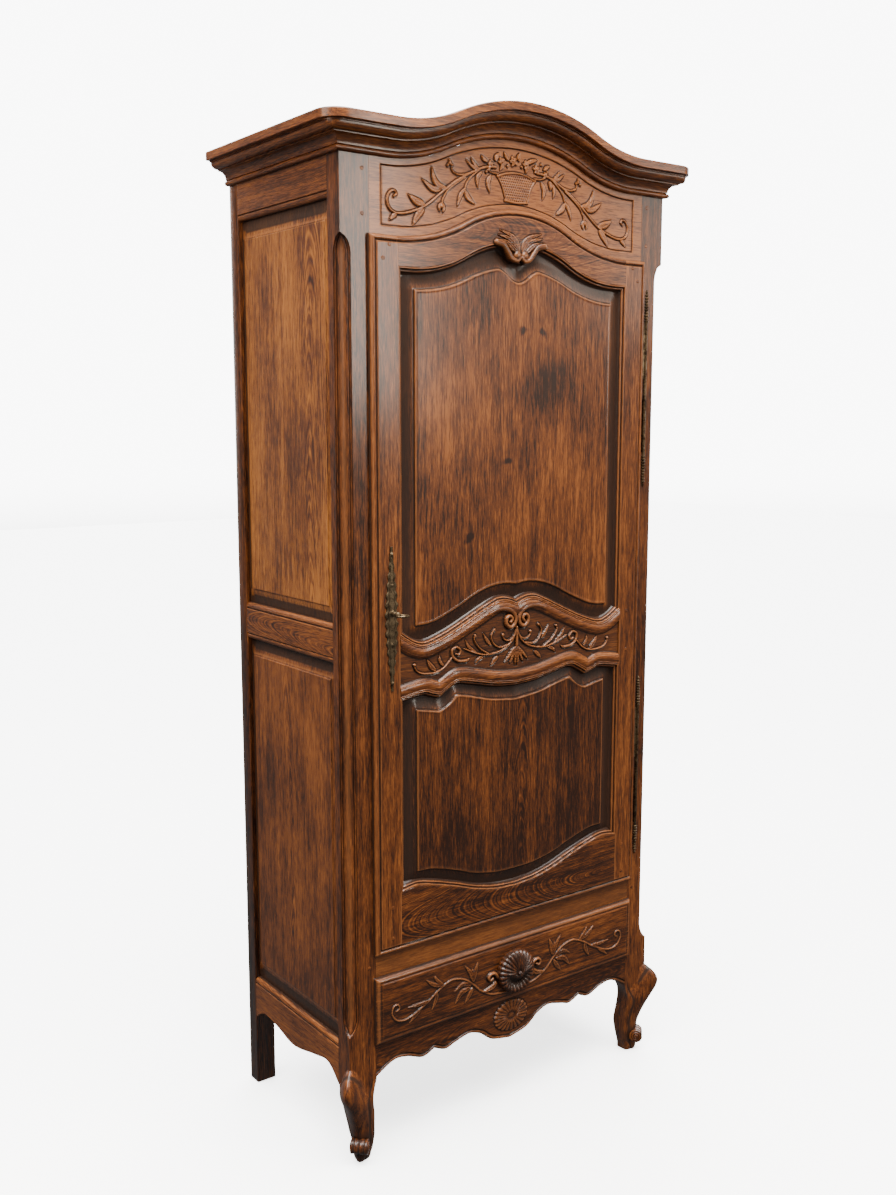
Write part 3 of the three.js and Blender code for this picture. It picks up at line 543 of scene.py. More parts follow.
def tube_rings(path, radii, count=10):
    """Round sections along a path that never runs straight up."""
    path = np.array(path, float)
    tangents = np.gradient(path, axis=0)
    rings = []
    for place, tangent, radius in zip(path, tangents, radii):
        side = np.cross(tangent, (0, 0, 1))
        side /= np.linalg.norm(side)
        up = np.cross(side, tangent)
        up /= np.linalg.norm(up)
        angles = np.linspace(0, 2 * np.pi, count, endpoint=False)
        rings.append(place + radius * (np.outer(np.cos(angles), side)
                                       + np.outer(np.sin(angles), up)))
    return rings


# ------------------------------------------------------------------ materials

class Shader:
    """A short way to write a node tree: every call adds one node and returns its output."""

    def __init__(self, name, slot):
        self.material = bpy.data.materials.new(name)
        self.material.use_nodes = True
        self.material["slot"] = slot
        self.tree = self.material.node_tree
        self.bsdf = self.tree.nodes["Principled BSDF"]

    def put(self, socket, value):
        if isinstance(value, bpy.types.NodeSocket):
            self.tree.links.new(value, socket)
        else:
            socket.default_value = value

    def node(self, kind, output=0, inputs=(), **settings):
        node = self.tree.nodes.new(kind)
        for key, value in settings.items():
            setattr(node, key, value)
        for key, value in dict(inputs).items():
            self.put(node.inputs[key], value)
        return node.outputs[output]

    def math(self, operation, a, b):
        return self.node("ShaderNodeMath", 0, {0: a, 1: b}, operation=operation)

    def vector(self, operation, a, b):
        return self.node("ShaderNodeVectorMath", 0, {0: a, 1: b}, operation=operation)

    def noise(self, vector, scale=1.0, detail=2.0, roughness=0.5):
        return self.node("ShaderNodeTexNoise", 0, {"Vector": vector, "Scale": scale,
                                                   "Detail": detail, "Roughness": roughness})

    def ramp(self, value, low, high, a=0.0, b=1.0):
        return self.node("ShaderNodeMapRange", 0, {0: value, 1: low, 2: high, 3: a, 4: b},
                         interpolation_type="SMOOTHSTEP")

    def mix(self, amount, a, b):
        node = self.tree.nodes.new("ShaderNodeMix")
        node.data_type = "RGBA"
        for key, value in ((0, amount), (6, a), (7, b)):
            self.put(node.inputs[key], value)
        return node.outputs[2]

    def finish(self, **values):
        for key, value in values.items():
            self.put(self.bsdf.inputs[key.replace("_", " ")], value)
        return self.material


def rgb(red, green, blue):
    return (red, green, blue, 1.0)


# Directions of the grain: the turn that makes the first axis run across the board's face and
# the third axis along its grain. The side boards face along x, the others along y.
GRAIN_TURNS = {
    "upright": (0.0, 0.0, 0.0),
    "level": (0.0, math.pi / 2, 0.0),
    "upright_side": (0.0, 0.0, math.pi / 2),
    "level_side": (math.pi / 2, 0.0, math.pi / 2),
}


MARK_WANDER = 0.05
# Colours that the relief attribute mixes into the oak: near-black brown in hollows, painted shade
# together with patina; lighter orange on proud edges, painted highlight together with wear.
RECESS_PATINA_AND_SHADE = rgb(0.015, 0.0060, 0.0026)
WORN_EDGE_AND_HIGHLIGHT = rgb(0.26, 0.095, 0.030)


def oak(name, grain, seed, slot="waxed_oak", dark=rgb(0.012, 0.0036, 0.0012),
        mid=rgb(0.074, 0.0200, 0.0042), light=rgb(0.175, 0.054, 0.0105), rings=0.15, figure=0.10,
        shift=0.0, start=0.0, gloss=0.46, patches=0.6, shade=0.0, marks=()):
    """Stained and waxed oak.

    rings is how strongly the cathedral arches show, figure how fast they close along the
    board, shift their middle across it, start their end along it, patches is how uneven the
    stain is and shade how much darker the whole board is: painted shade for members lower on
    the front, which get less light, and painted light where it is below zero. marks are knots
    and dark blotches: x, z, radius and how dark.
    """
    s = Shader(name, slot)
    place = s.node("ShaderNodeTexCoord", 3)
    board = s.node("ShaderNodeVectorRotate", 0, {"Vector": place, "Rotation": GRAIN_TURNS[grain]},
                   rotation_type="EULER_XYZ")
    moved = s.vector("ADD", board, (seed * 0.37, seed * 0.53, seed * 0.71))

    def streaks(across_scale, along_scale, detail, roughness=0.5):
        """Noise in cells per metre across and along the grain."""
        stretched = s.vector("MULTIPLY", moved, (across_scale, across_scale, along_scale))
        return s.noise(stretched, 1.0, detail, roughness)

    def centred(value, weight):
        return s.math("MULTIPLY", s.math("SUBTRACT", value, 0.5), weight)

    slow = streaks(4.0, 1.6, 2.0)
    split = s.tree.nodes.new("ShaderNodeSeparateXYZ")
    s.put(split.inputs[0], board)
    across = s.math("ADD", split.outputs[0], shift)
    across = s.math("ADD", across, centred(slow, 0.12))
    along = s.math("MULTIPLY", s.math("SUBTRACT", split.outputs[2], start), figure)
    radius = s.math("POWER", s.math("ADD", s.math("MULTIPLY", across, across),
                                    s.math("MULTIPLY", along, along)), 0.5)
    growth = s.node("ShaderNodeTexNoise", 0, {"W": s.math("MULTIPLY", radius, 170.0),
                                              "Detail": 1.5, "Roughness": 0.6},
                    noise_dimensions="1D")
    broad = streaks(70.0, 2.2, 3.0, 0.6)
    fine = streaks(290.0, 22.0, 3.0, 0.75)
    fibre = streaks(640.0, 55.0, 3.0, 0.7)
    pore = s.ramp(streaks(700.0, 34.0, 1.0), 0.58, 0.70)
    patch = streaks(17.0, 9.0, 5.0, 0.6)
    cloud = streaks(5.0, 3.2, 3.0)

    tone = s.math("ADD", 0.5 - shade, centred(growth, 2.0 * rings))
    for value, weight in ((broad, 0.7), (fine, 1.2), (fibre, 0.9), (patch, 0.6 * patches),
                          (cloud, 1.1 * patches)):
        tone = s.math("ADD", tone, centred(value, weight))
    # The outline of each mark wanders by MARK_WANDER, half of it either way.
    uneven = s.node("ShaderNodeTexNoise", 1, {"Vector": place, "Scale": 22.0})
    wander = s.vector("MULTIPLY", uneven, (MARK_WANDER, 0.0, MARK_WANDER))
    flat = s.vector("ADD", s.vector("MULTIPLY", place, (1.0, 0.0, 1.0)), wander)
    half = MARK_WANDER / 2
    for x, z, radius, strength in marks:
        away = s.node("ShaderNodeVectorMath", 1, {0: flat, 1: (x + half, 0.0, z + half)},
                      operation="DISTANCE")
        tone = s.math("SUBTRACT", tone, s.ramp(away, 0.2 * radius, radius, strength, 0.0))
    colour = s.mix(s.ramp(tone, 0.16, 0.52), dark, mid)
    colour = s.mix(s.ramp(tone, 0.46, 0.86), colour, light)
    colour = s.mix(s.math("MULTIPLY", pore, 0.6), colour, dark)

    # Hollows are painted darker, towards a near-black brown: painted shade together with patina. Proud
    # edges and rounds are painted lighter: painted highlight together with wear.
    dip = s.node("ShaderNodeAttribute", 2, attribute_name="relief")
    colour = s.mix(s.ramp(dip, 0.02, 0.5, 0.0, 0.9), colour, RECESS_PATINA_AND_SHADE)
    worn_and_highlit = s.mix(0.5, colour, WORN_EDGE_AND_HIGHLIGHT)
    colour = s.mix(s.ramp(s.math("MULTIPLY", dip, -1.0), 0.06, 0.8, 0.0, 0.8), colour, worn_and_highlit)

    rough = s.math("ADD", centred(patch, 0.12), s.ramp(dip, 0.1, 0.6, gloss, gloss + 0.3))
    rough = s.math("ADD", rough, centred(fine, 0.10))
    rough = s.math("ADD", rough, s.math("MULTIPLY", pore, 0.16))
    relief = s.math("SUBTRACT", s.math("MULTIPLY", fibre, 0.4), s.math("MULTIPLY", pore, 0.8))
    relief = s.math("ADD", relief, s.math("MULTIPLY", fine, 0.7))
    bump = s.node("ShaderNodeBump", 0, {"Strength": 0.30, "Distance": 0.0004, "Height": relief})
    s.bsdf.inputs["Specular IOR Level"].default_value = 0.14
    s.bsdf.inputs["Coat Weight"].default_value = 0.34
    s.bsdf.inputs["Coat Roughness"].default_value = 0.20
    return s.finish(Base_Color=colour, Roughness=rough, Normal=bump)


def metal(name, slot, base, dirt, rough, metallic=1.0):
    """Old brass or iron: dull metal under a broken dark patina."""
    s = Shader(name, slot)
    place = s.node("ShaderNodeTexCoord", 3)
    cloud = s.noise(place, 90.0, 5.0, 0.65)
    speck = s.noise(place, 900.0, 2.0, 0.6)
    grime_and_shade = s.ramp(s.math("ADD", cloud, s.math("MULTIPLY", s.math("SUBTRACT", speck, 0.5), 0.4)),
                   0.38, 0.66)
    colour = s.mix(grime_and_shade, base, dirt)
    dip = s.node("ShaderNodeAttribute", 2, attribute_name="relief")
    colour = s.mix(s.ramp(dip, 0.05, 0.5, 0.0, 0.9), colour, rgb(0.012, 0.009, 0.006))
    s.bsdf.inputs["Metallic"].default_value = metallic
    height = s.math("ADD", cloud, s.math("MULTIPLY", speck, 0.3))
    bump = s.node("ShaderNodeBump", 0, {"Strength": 0.3, "Distance": 0.0006, "Height": height})
    return s.finish(Base_Color=colour, Roughness=s.ramp(grime_and_shade, 0, 1, rough, rough + 0.3),
                    Normal=bump)


# Members low on the front, and the posts, take a positive shade: painted shade, as less light falls
# low on the front. The frieze and the upper side panels take a negative shade: painted light where
# more light falls.
OAK_POST = oak("oak_post", "upright", 1, rings=0.1, shade=0.12)
OAK_SHELL = oak("oak_shell", "upright", 16, "carved_oak", rings=0.1, shade=0.24)
OAK_STILE = oak("oak_stile", "upright", 4, rings=0.1, patches=0.4)
OAK_RAIL = oak("oak_rail", "level", 2, rings=0.3, shift=-1.76, start=0.8)
OAK_LOW_RAIL = oak("oak_low_rail", "level", 12, rings=0.55, figure=0.16, shift=-0.445, start=-0.25,
                   shade=0.12)
OAK_CARVED = oak("oak_carved", "level", 5, "carved_oak", rings=0.2, shift=-1.7, patches=0.5)
OAK_FRIEZE = oak("oak_frieze", "level", 15, "carved_oak", rings=0.1, shift=-1.7, patches=0.4,
                 shade=-0.25)
OAK_DRAWER = oak("oak_drawer", "level", 7, "carved_oak", rings=0.25, shift=-0.2, patches=0.4,
                 shade=0.10)
OAK_SIDE_RAIL = oak("oak_side_rail", "level_side", 3, rings=0.6, shift=-1.0, start=-0.3)
OAK_CORNICE = oak("oak_cornice", "level", 14, rings=0.15, shift=-1.5)
OAK_PANEL = oak("oak_panel", "upright", 6, "panel_oak", rings=0.12, figure=0.02, patches=0.9,
                shade=0.03, marks=[(0.075, 1.47, 0.10, 0.32), (0.015, 1.578, 0.016, 0.5),
                                   (0.062, 1.577, 0.013, 0.5), (-0.118, 1.19, 0.014, 0.4),
                                   (-0.03, 1.33, 0.012, 0.4)])
OAK_LOW_PANEL = oak("oak_low_panel", "upright", 13, "panel_oak", rings=0.35, figure=0.07,
                    shift=-0.03, start=0.2, patches=0.6, shade=0.19)
OAK_SIDE_LOW_PANEL = oak("oak_side_low_panel", "upright_side", 17, "panel_oak", rings=0.4,
                         figure=0.05, shift=0.04, start=0.1, patches=0.8, shade=0.03)
# The upper side panels get a lighter colour as well: painted light, brighter than the lower side
# panels.
OAK_SIDE_PANEL = oak("oak_side_panel", "upright_side", 8, "panel_oak", rings=0.5, figure=0.05,
                     shift=-0.06, start=0.1, patches=0.8, shade=-0.08,
                     light=rgb(0.24, 0.083, 0.0145))
PLAIN = dict(slot="plain_oak", dark=rgb(0.035, 0.018, 0.008), mid=rgb(0.105, 0.056, 0.024),
             light=rgb(0.19, 0.112, 0.052), gloss=0.66)
PLAIN_Z = oak("plain_oak_upright", "upright", 9, **PLAIN)
PLAIN_X = oak("plain_oak_level", "level", 10, **PLAIN)
PLAIN_Y = oak("plain_oak_deep", "level_side", 11, **PLAIN)
BRASS = metal("aged_brass", "aged_brass", rgb(0.14, 0.10, 0.058), rgb(0.03, 0.02, 0.012), 0.40)
# A darker copy of the brass for the hinges: painted shade for the narrow gap between the door and the
# post, in which the barrels sit.
HINGE_BRASS = metal("dark_brass", "aged_brass", rgb(0.10, 0.065, 0.035),
                    rgb(0.016, 0.010, 0.006), 0.45)
IRON = metal("dark_iron", "dark_iron", rgb(0.08, 0.07, 0.06), rgb(0.025, 0.017, 0.012), 0.5, 0.8)


# ------------------------------------------------------------------ door

# Sticking inside an opening: heights against the distance from the arris into the opening.
STICKING = [(0, -0.9), (0.8, -0.1), (1.8, 0.2), (2.8, -0.4), (3.6, -4.4), (4.4, -5.2), (5.4, -4.0),
            (7.0, -4.0), (8.0, -5.4), (8.8, -9.6), (10.5, -11.4), (12, -12.8), (14, -14.5),
            (30, -15.5)]
STICKING_WIDTH = 14
# Lip round the door: heights against the distance in from its outer edge.
LIP = [(0, -11), (0.8, -6.5), (2.2, -3.2), (4, -1.3), (6, -0.6), (8, -0.9), (9.6, -2.2),
       (10.6, -3.6), (12, -3.2), (13, -0.7), (14, 0)]
# Band along the carved edges of the middle rail, from the arris outwards.
BAND = [(0, -0.8), (0.8, 0.7), (1.8, 1.0), (2.8, 0.3), (3.8, 0.6), (6, 1.4), (9.5, 2.2),
        (13, 2.1), (15.8, 1.4), (16.8, 0.6), (17.6, 0.9), (19, 0.3), (21, -1.4), (23.4, -3.6)]
# Edge of the drawer front: softer than the lip of the door.
DRAWER_LIP = [(0, -10), (1.2, -6.6), (3, -3.6), (5.5, -1.5), (8, -0.5), (10.4, -1.2),
              (12, -1.5), (13.4, -0.6), (14.6, 0)]
# How far the face drops where another member covers this one: still in front of the lip's back.
SUNK = 11.8
# Radii of the hole for the key, through the stile and through the plate in front of it.
STILE_BORE = 4.5
PLATE_BORE = 3.6


def door_outline():
    x = np.linspace(-DOOR_HALF, DOOR_HALF, 160)
    top = np.column_stack([x, door_top(x)])
    return np.vstack([[-DOOR_HALF, DOOR_LOW], top, [DOOR_HALF, DOOR_LOW], [-DOOR_HALF, DOOR_LOW]])


DOOR_OUTLINE = door_outline()
OPENINGS = [(mid_rail_high, rail_top_edge), (bottom_rail_high, mid_rail_low)]


def opening_depth(U, W):
    """For each point: how far inside an opening it lies, sideways and upright, or negative."""
    side = STILE_INNER - np.abs(U)
    upright = np.full(U.shape, -1e3)
    for low, high in OPENINGS:
        inside = (W > low(U)) & (W < high(U)) & (side > 0)
        near = np.minimum(edge_distance(U, W, low, STILE_INNER + 20),
                          edge_distance(U, W, high, STILE_INNER + 20))
        upright = np.where(inside, near, upright)
    return side, upright


def door_lip(U, W):
    return profile(distance(U, W, DOOR_OUTLINE), LIP)


def stile_height(U, W):
    side, upright = opening_depth(U, W)
    sticking = profile(side, STICKING)
    sticking = np.where(upright < side, sticking - 0.5, sticking)
    covered = (side > 0) & (upright < 0)
    inner = np.where(covered, -SUNK, sticking)
    return DOOR_PROUD + np.where(side > 0, inner, door_lip(U, W))


def rail_height(U, W, extra=None):
    side, upright = opening_depth(U, W)
    sticking = profile(upright, STICKING)
    sticking = np.where(side < upright, sticking - 0.5, sticking)
    face = door_lip(U, W) if extra is None else extra(U, W)
    return DOOR_PROUD + np.where(upright > 0, sticking, face)


def panel_height(field_low, field_high, field_half):
    """A raised field with a small step at its edge and a hollow slope down to the frame."""
    outline = closed_outline(field_low, field_high, field_half, 160)

    def height(U, W):
        inside = (np.abs(U) < field_half) & (W > field_low(U)) & (W < field_high(U))
        d = distance(U, W, outline)
        slope = profile(d, [(0, -0.2), (0.6, -2.6), (1.6, -3.6), (3.4, -3.4), (10, -5.0),
                            (20, -7.4), (32, -9.6), (60, -10)])
        rim = profile(d, [(0, -0.2), (1.6, 0.5), (3.6, 0.4), (5.4, 0)])
        return DOOR_PROUD - 4.2 + np.where(inside, rim, slope)
    return height


def top_rail_height(U, W):
    H = rail_height(U, W) - DOOR_PROUD
    return DOOR_PROUD + carve(H, U, W, PENDANT, 0)


def mid_rail_face(U, W):
    low = edge_distance(U, W, mid_rail_low, STILE_INNER)
    high = edge_distance(U, W, mid_rail_high, STILE_INNER)
    band = profile(np.minimum(low, high), BAND)
    return carve(band, U, W, MID_CARVING, MID_GROUND)


def upright_fractions(low, high, margin_low, margin_high, fine, coarse):
    """Row positions from 0 to 1 of a board of about this height, fine near both edges."""
    rows = stops(low, high, [(low, low + margin_low), (high - margin_high, high)], fine, coarse)
    return (rows - low) / (high - low)


REBATE = (DOOR_LOW + 8, 327.5)  # inner edge of the lip: its height below and its half width
LIP_BACK = -0.5
DOOR_DEPTH = STILE[1][1] - FRONT


def door_depth(U, W):
    """The door is thick inside its opening, and only a lip where it laps over the case."""
    thick = (np.abs(U) < REBATE[1]) & (W > REBATE[0]) & (W < door_top(U) - 8)
    return np.where(thick, DOOR_DEPTH, LIP_BACK)


FOOT_STEPS = [level(REBATE[0]), level(REBATE[0] + 0.2)]
HEAD_STEPS = [raised(door_top, -8.2), raised(door_top, -8)]


def build_door():
    inner = STILE_INNER - STICKING_WIDTH - 2
    stile_rows = stops(DOOR_LOW, DOOR_HIGH, [
        (DOOR_LOW, DOOR_LOW + 18), (510, 548), (888, 925), (985, 1040), (1655, 1690),
        (DOOR_HIGH - 18, DOOR_HIGH)], 1.2, 14)
    fractions = (stile_rows - DOOR_LOW) / (DOOR_HIGH - DOOR_LOW)
    columns = stops(inner, DOOR_HALF, [(inner, STILE_INNER + 2), (DOOR_HALF - 17, DOOR_HALF)],
                    0.8, 6)
    for name, side in (("lock", -1), ("hinge", 1)):
        us = columns if side > 0 else -columns[::-1]
        stile = relief_board(f"stile_{name}_side", [f"door_stile_{name}"], "door", OAK_STILE, us,
                             fractions, level(DOOR_LOW), level(DOOR_HIGH), stile_height,
                             door_depth, steps=FOOT_STEPS + HEAD_STEPS)
        if name == "lock":
            bore(stile, PLATE_X, KEY_Z, STILE_BORE)

    half = STILE_INNER - SEAM
    across = stops(-half, half, [(-half, half)], 1.3)
    reach = STICKING_WIDTH + 3
    relief_board("rail_top_arched", ["door_rail_top"], "door", OAK_RAIL, across,
                 upright_fractions(0, 90, 60, 20, 1.0, 3), raised(rail_top_edge, -reach),
                 door_top, top_rail_height, door_depth, steps=HEAD_STEPS)
    relief_board("rail_middle_carved", ["door_rail_middle"], "door", OAK_CARVED, across,
                 upright_fractions(0, 170, 170, 0, 1.1, 3), raised(mid_rail_low, -reach),
                 raised(mid_rail_high, reach), lambda U, W: rail_height(U, W, mid_rail_face),
                 DOOR_DEPTH)
    relief_board("rail_bottom_shaped", ["door_rail_bottom"], "door", OAK_LOW_RAIL, across,
                 upright_fractions(0, 120, 20, 50, 1.1, 6), level(DOOR_LOW),
                 raised(bottom_rail_high, reach), rail_height, door_depth, steps=FOOT_STEPS)
    cross = stops(-inner - 3, inner + 3, [(-inner - 6, -inner + 45), (inner - 45, inner + 6)],
                  1.2, 4)
    grow = STICKING_WIDTH - 2
    panel_back = node_box("door_panel_upper")[1][1] - FRONT
    relief_board("panel_upper_fielded", ["door_panel_upper"], "door", OAK_PANEL, cross,
                 upright_fractions(0, 620, 85, 85, 1.1, 14), raised(mid_rail_high, grow),
                 raised(rail_top_edge, -grow),
                 panel_height(upper_field_low, upper_field_high, 240), panel_back)
    relief_board("panel_lower_fielded", ["door_panel_lower"], "door", OAK_LOW_PANEL, cross,
                 upright_fractions(0, 380, 60, 60, 1.0, 14), raised(bottom_rail_high, grow),
                 raised(mid_rail_low, -grow),
                 panel_height(lower_field_low, lower_field_high, 238), panel_back)


# ------------------------------------------------------------------ case front

FRIEZE_HALF = 305
FRIEZE_GROUND = -1.8
MID_GROUND = -3.6


def frieze_height(U, W):
    inside = (np.abs(U) < FRIEZE_HALF) & (W > frieze_low(U)) & (W < frieze_high(U))
    d = distance(U, W, closed_outline(frieze_low, frieze_high, FRIEZE_HALF, 140))
    ground = profile(d, [(0, -2.2), (1.2, -2.8), (2.2, -1.6), (5, FRIEZE_GROUND)])
    frame_line = profile(d, [(0, -2.2), (0.9, -0.3), (1.6, 0)])
    H = basket(np.where(inside, ground, frame_line), U, W, FRIEZE_GROUND)
    H = carve(H, U, W, FRIEZE_VINE, FRIEZE_GROUND)
    blooms = [petal for place in FLOWERS for petal in flower(*place)]
    return carve(H, U, W, blooms + LOOSE_LEAVES, FRIEZE_GROUND, sides=(1,))


def apron_height(U, W):
    d = edge_distance(U, W, apron_low, OPENING_HALF, 240)
    H = profile(d, [(0, -3.5), (1.5, -1.0), (3.5, -0.2), (5.5, -0.6), (6.8, -2.6), (8.2, -2.4),
                    (9.6, -0.4), (11, 0)])
    return np.maximum(H, shell(U, W, (0, 193), (44, 33), 22, 6.0))


def drawer_height(U, W):
    half = DOOR_HALF
    outline = [(-half, DRAWER_LOW), (half, DRAWER_LOW), (half, DRAWER_HIGH), (-half, DRAWER_HIGH),
               (-half, DRAWER_LOW)]
    face = profile(distance(U, W, outline), DRAWER_LIP)
    return DRAWER_PROUD + carve(face, U, W, DRAWER_VINE, -0.2)


def build_front():
    half = OPENING_HALF - SEAM
    across = stops(-half, half, [(-half, half)], 1.4)
    relief_board("frieze_board", ["frieze_rail"], "case", OAK_FRIEZE,
                 stops(-half, half, [(-46, 46)], 0.8, 1.4),
                 upright_fractions(0, 130, 130, 0, 1.2, 3), raised(door_top, -5),
                 lambda x: CASE_TOP - SEAM + cornice_rise(x), frieze_height, 30)
    relief_board("rail_between", ["rail_above_drawer"], "case", OAK_RAIL,
                 stops(-half, half, (), coarse=40), np.array([0, 0.02, 0.05, 0.95, 0.98, 1]),
                 level(RAIL[0][2]), level(RAIL[1][2]),
                 lambda U, W: np.minimum(0, np.minimum(W - RAIL[0][2], RAIL[1][2] - W) - 1.5), 30)
    relief_board("apron_board", ["apron"], "case", OAK_DRAWER, across,
                 upright_fractions(0, 75, 75, 0, 1.2, 3), apron_low, level(DRAWER_LOW + 5),
                 apron_height, 24)
    cross = stops(-DOOR_HALF, DOOR_HALF, [(-DOOR_HALF, DOOR_HALF)], 1.4)

    def drawer_depth(U, W):
        inside = (np.abs(U) < 326) & (W > DRAWER_LOW + 8) & (W < DRAWER_HIGH - 8)
        return np.where(inside, DRAWER[1][1] - FRONT, LIP_BACK)

    edges = (DRAWER_LOW + 8, DRAWER_LOW + 8.2, DRAWER_HIGH - 8.2, DRAWER_HIGH - 8)
    relief_board("drawer_face", ["drawer_front"], "drawer", OAK_DRAWER, cross,
                 upright_fractions(0, 135, 135, 0, 1.2, 3), level(DRAWER_LOW), level(DRAWER_HIGH),
                 drawer_height, drawer_depth, steps=[level(z) for z in edges])


# ------------------------------------------------------------------ posts and legs

CANT = 22
CANT_LOW, CANT_HIGH = 262, 1727
LANCET = 34
# Moulding of the canted corner: depth against the distance in from its edge.
CANT_MOULDING = [(0, 0), (0.5, 1.5), (1.2, 1.8), (2.0, 0.5), (3.2, 0.1), (4.3, 0.5), (5.0, 2.0),
                 (5.7, 2.0), (6.5, 0.7), (8.5, -0.6), (11, -1.6), (13.5, -2.2), (17, -2.5)]


def cant_width(z):
    """Half the width of the canted face at a height; it ends in a pointed arch each way."""
    ahead = min(z - CANT_LOW, CANT_HIGH - z)
    share = min(max(ahead / LANCET, 0.0), 1.0)
    return CANT / math.sqrt(2) * math.sqrt(1 - (1 - share) ** 2)


# The cabriole leg, level by level, seen along the diagonal of its corner: height, how far the
# front arris and the side arris lie to either side of the corner, and how far the arrises, the
# nose and the inner corner stand out from the corner of the case.
LEG_LEVELS = np.array([
    (0, 27, 2, -38, -19, -56),
    (4, 29, 4, -39, -17, -57),
    (12, 31, 5, -40, -16, -57),
    (22, 34, 7, -42, -22, -59),
    (35, 36, 9, -42, -22, -62),
    (50, 38, 13, -42, -16, -65),
    (69, 38, 17, -42, -13, -67),
    (94, 38.5, 22, -40, -3, -63),
    (113, 38, 24, -35, 7, -60),
    (129, 38, 25, -30, 17, -59),
    (145, 39.5, 26.5, -29, 26, -61),
    (161, 42.4, 28.3, -29, 30, -68),
    (174, 42.4, 28.3, -29, 25.5, -70.7),
    (185, 42.4, 28.3, -29, 16, -70.7),
    (192, 42.4, 28.3, -29, 7, -70.7),
    (197, 42.4, 28.3, -29, 0, -70.7),
    (205, 42.4, 28.3, -29, -1, -70.7),
], float)
KNEE_TOP = 197
KNEE_ARCH = 0.075
NOSE_POWER = 1.8


CORNER_POINTS = 41
FACE_POINTS = 13


def post_ring(inner, outer, front, back, cant, moulded):
    """One level of a right front post: the front face, the corner, the side face, the back.

    Returns each point with its relief.
    """
    middle = np.array([outer - cant / 2, front + cant / 2])
    along = np.array([1, 1]) / math.sqrt(2)
    outward = np.array([1, -1]) / math.sqrt(2)
    reach = cant / math.sqrt(2)
    ring = [((x, front), 0) for x in np.linspace(inner, outer - cant, FACE_POINTS, endpoint=False)]
    for share in np.linspace(-1, 1, CORNER_POINTS):
        s = share * reach
        sunk = profile(reach - abs(s), CANT_MOULDING) if moulded else 0
        # Grooves of the corner moulding are painted darker and its proud rounds lighter: painted shade
        # and highlight, together with patina and wear.
        dip = max(0.5 * (sunk - 0.7), 0) + 0.2 * min(sunk, 0)
        ring.append((middle + along * s - outward * sunk, dip))
    ring += [((outer, y), 0) for y in np.linspace(front + cant, back, FACE_POINTS + 1)[1:]]
    return [*ring, ((inner, back), 0)]


def leg_columns():
    """Smooth curves of each leg measure against height."""
    return [spline(LEG_LEVELS[:, [0, column]], 8) for column in range(1, LEG_LEVELS.shape[1])]


def smooth_step(value, start, end):
    share = np.clip((value - start) / (end - start), 0, 1)
    return share * share * (3 - 2 * share)


def leg_points(z, measures):
    """A level of the cabriole leg and the relief of its points.

    Above, the knee bulges out of the square corner of the post under a rounded arch; below,
    the section is a kite with a rounded nose. A groove runs inside each arris.
    """
    front, side, arris, nose, inner = measures
    half_count = (CORNER_POINTS - 1) // 2 + FACE_POINTS
    t = np.concatenate([np.linspace(-front, 0, half_count + 1),
                        np.linspace(0, side, half_count + 1)[1:]])
    arch = math.sqrt(max(KNEE_TOP - z, 0.01) / KNEE_ARCH)
    corner = -np.abs(t)
    knee = nose - (nose + arch) * (t / arch) ** 2
    upper = np.where(np.abs(t) < arch, np.maximum(corner, knee), corner)
    middle, half = (side - front) / 2, (side + front) / 2
    lower = arris + (nose - arris) * (1 - np.abs((t - middle) / half) ** NOSE_POWER)
    share = smooth_step(z, 104, 152)
    out = share * upper + (1 - share) * lower
    from_arris = np.minimum(t + front, side - t)
    low_part = 1 - smooth_step(z, 150, 175)
    groove = np.exp(-((from_arris - 6.5) / 1.3) ** 2) * low_part
    rim = np.exp(-((KNEE_TOP - z - KNEE_ARCH * t ** 2 - 8) / 2.2) ** 2) * smooth_step(z, 150, 165)
    out = out - 1.8 * groove - 1.2 * rim
    # The relief paints the grooves and the rim under the knee darker and the arrises lighter (painted
    # shade and highlight, together with patina and wear), and the ankle above the toe darker.
    dip = 0.8 * groove + 0.7 * rim - 0.2 * (from_arris < 5) * low_part
    dip = dip + 0.5 * (1 - smooth_step(z, 40, 75)) * smooth_step(z, 14, 26)
    points = [(CASE_HALF + (e + w) / math.sqrt(2), FRONT + (w - e) / math.sqrt(2), z)
              for e, w in zip([*out, inner], [*t, middle])]
    return points, [*dip, 0.2]


# Scroll of the toe: how far its middle lies in front of the corner of the case, aside and up.
TOE_PLACE = (-16, -14, 35.5)
TOE_RADIUS = 14.5
TOE_HALF = 16


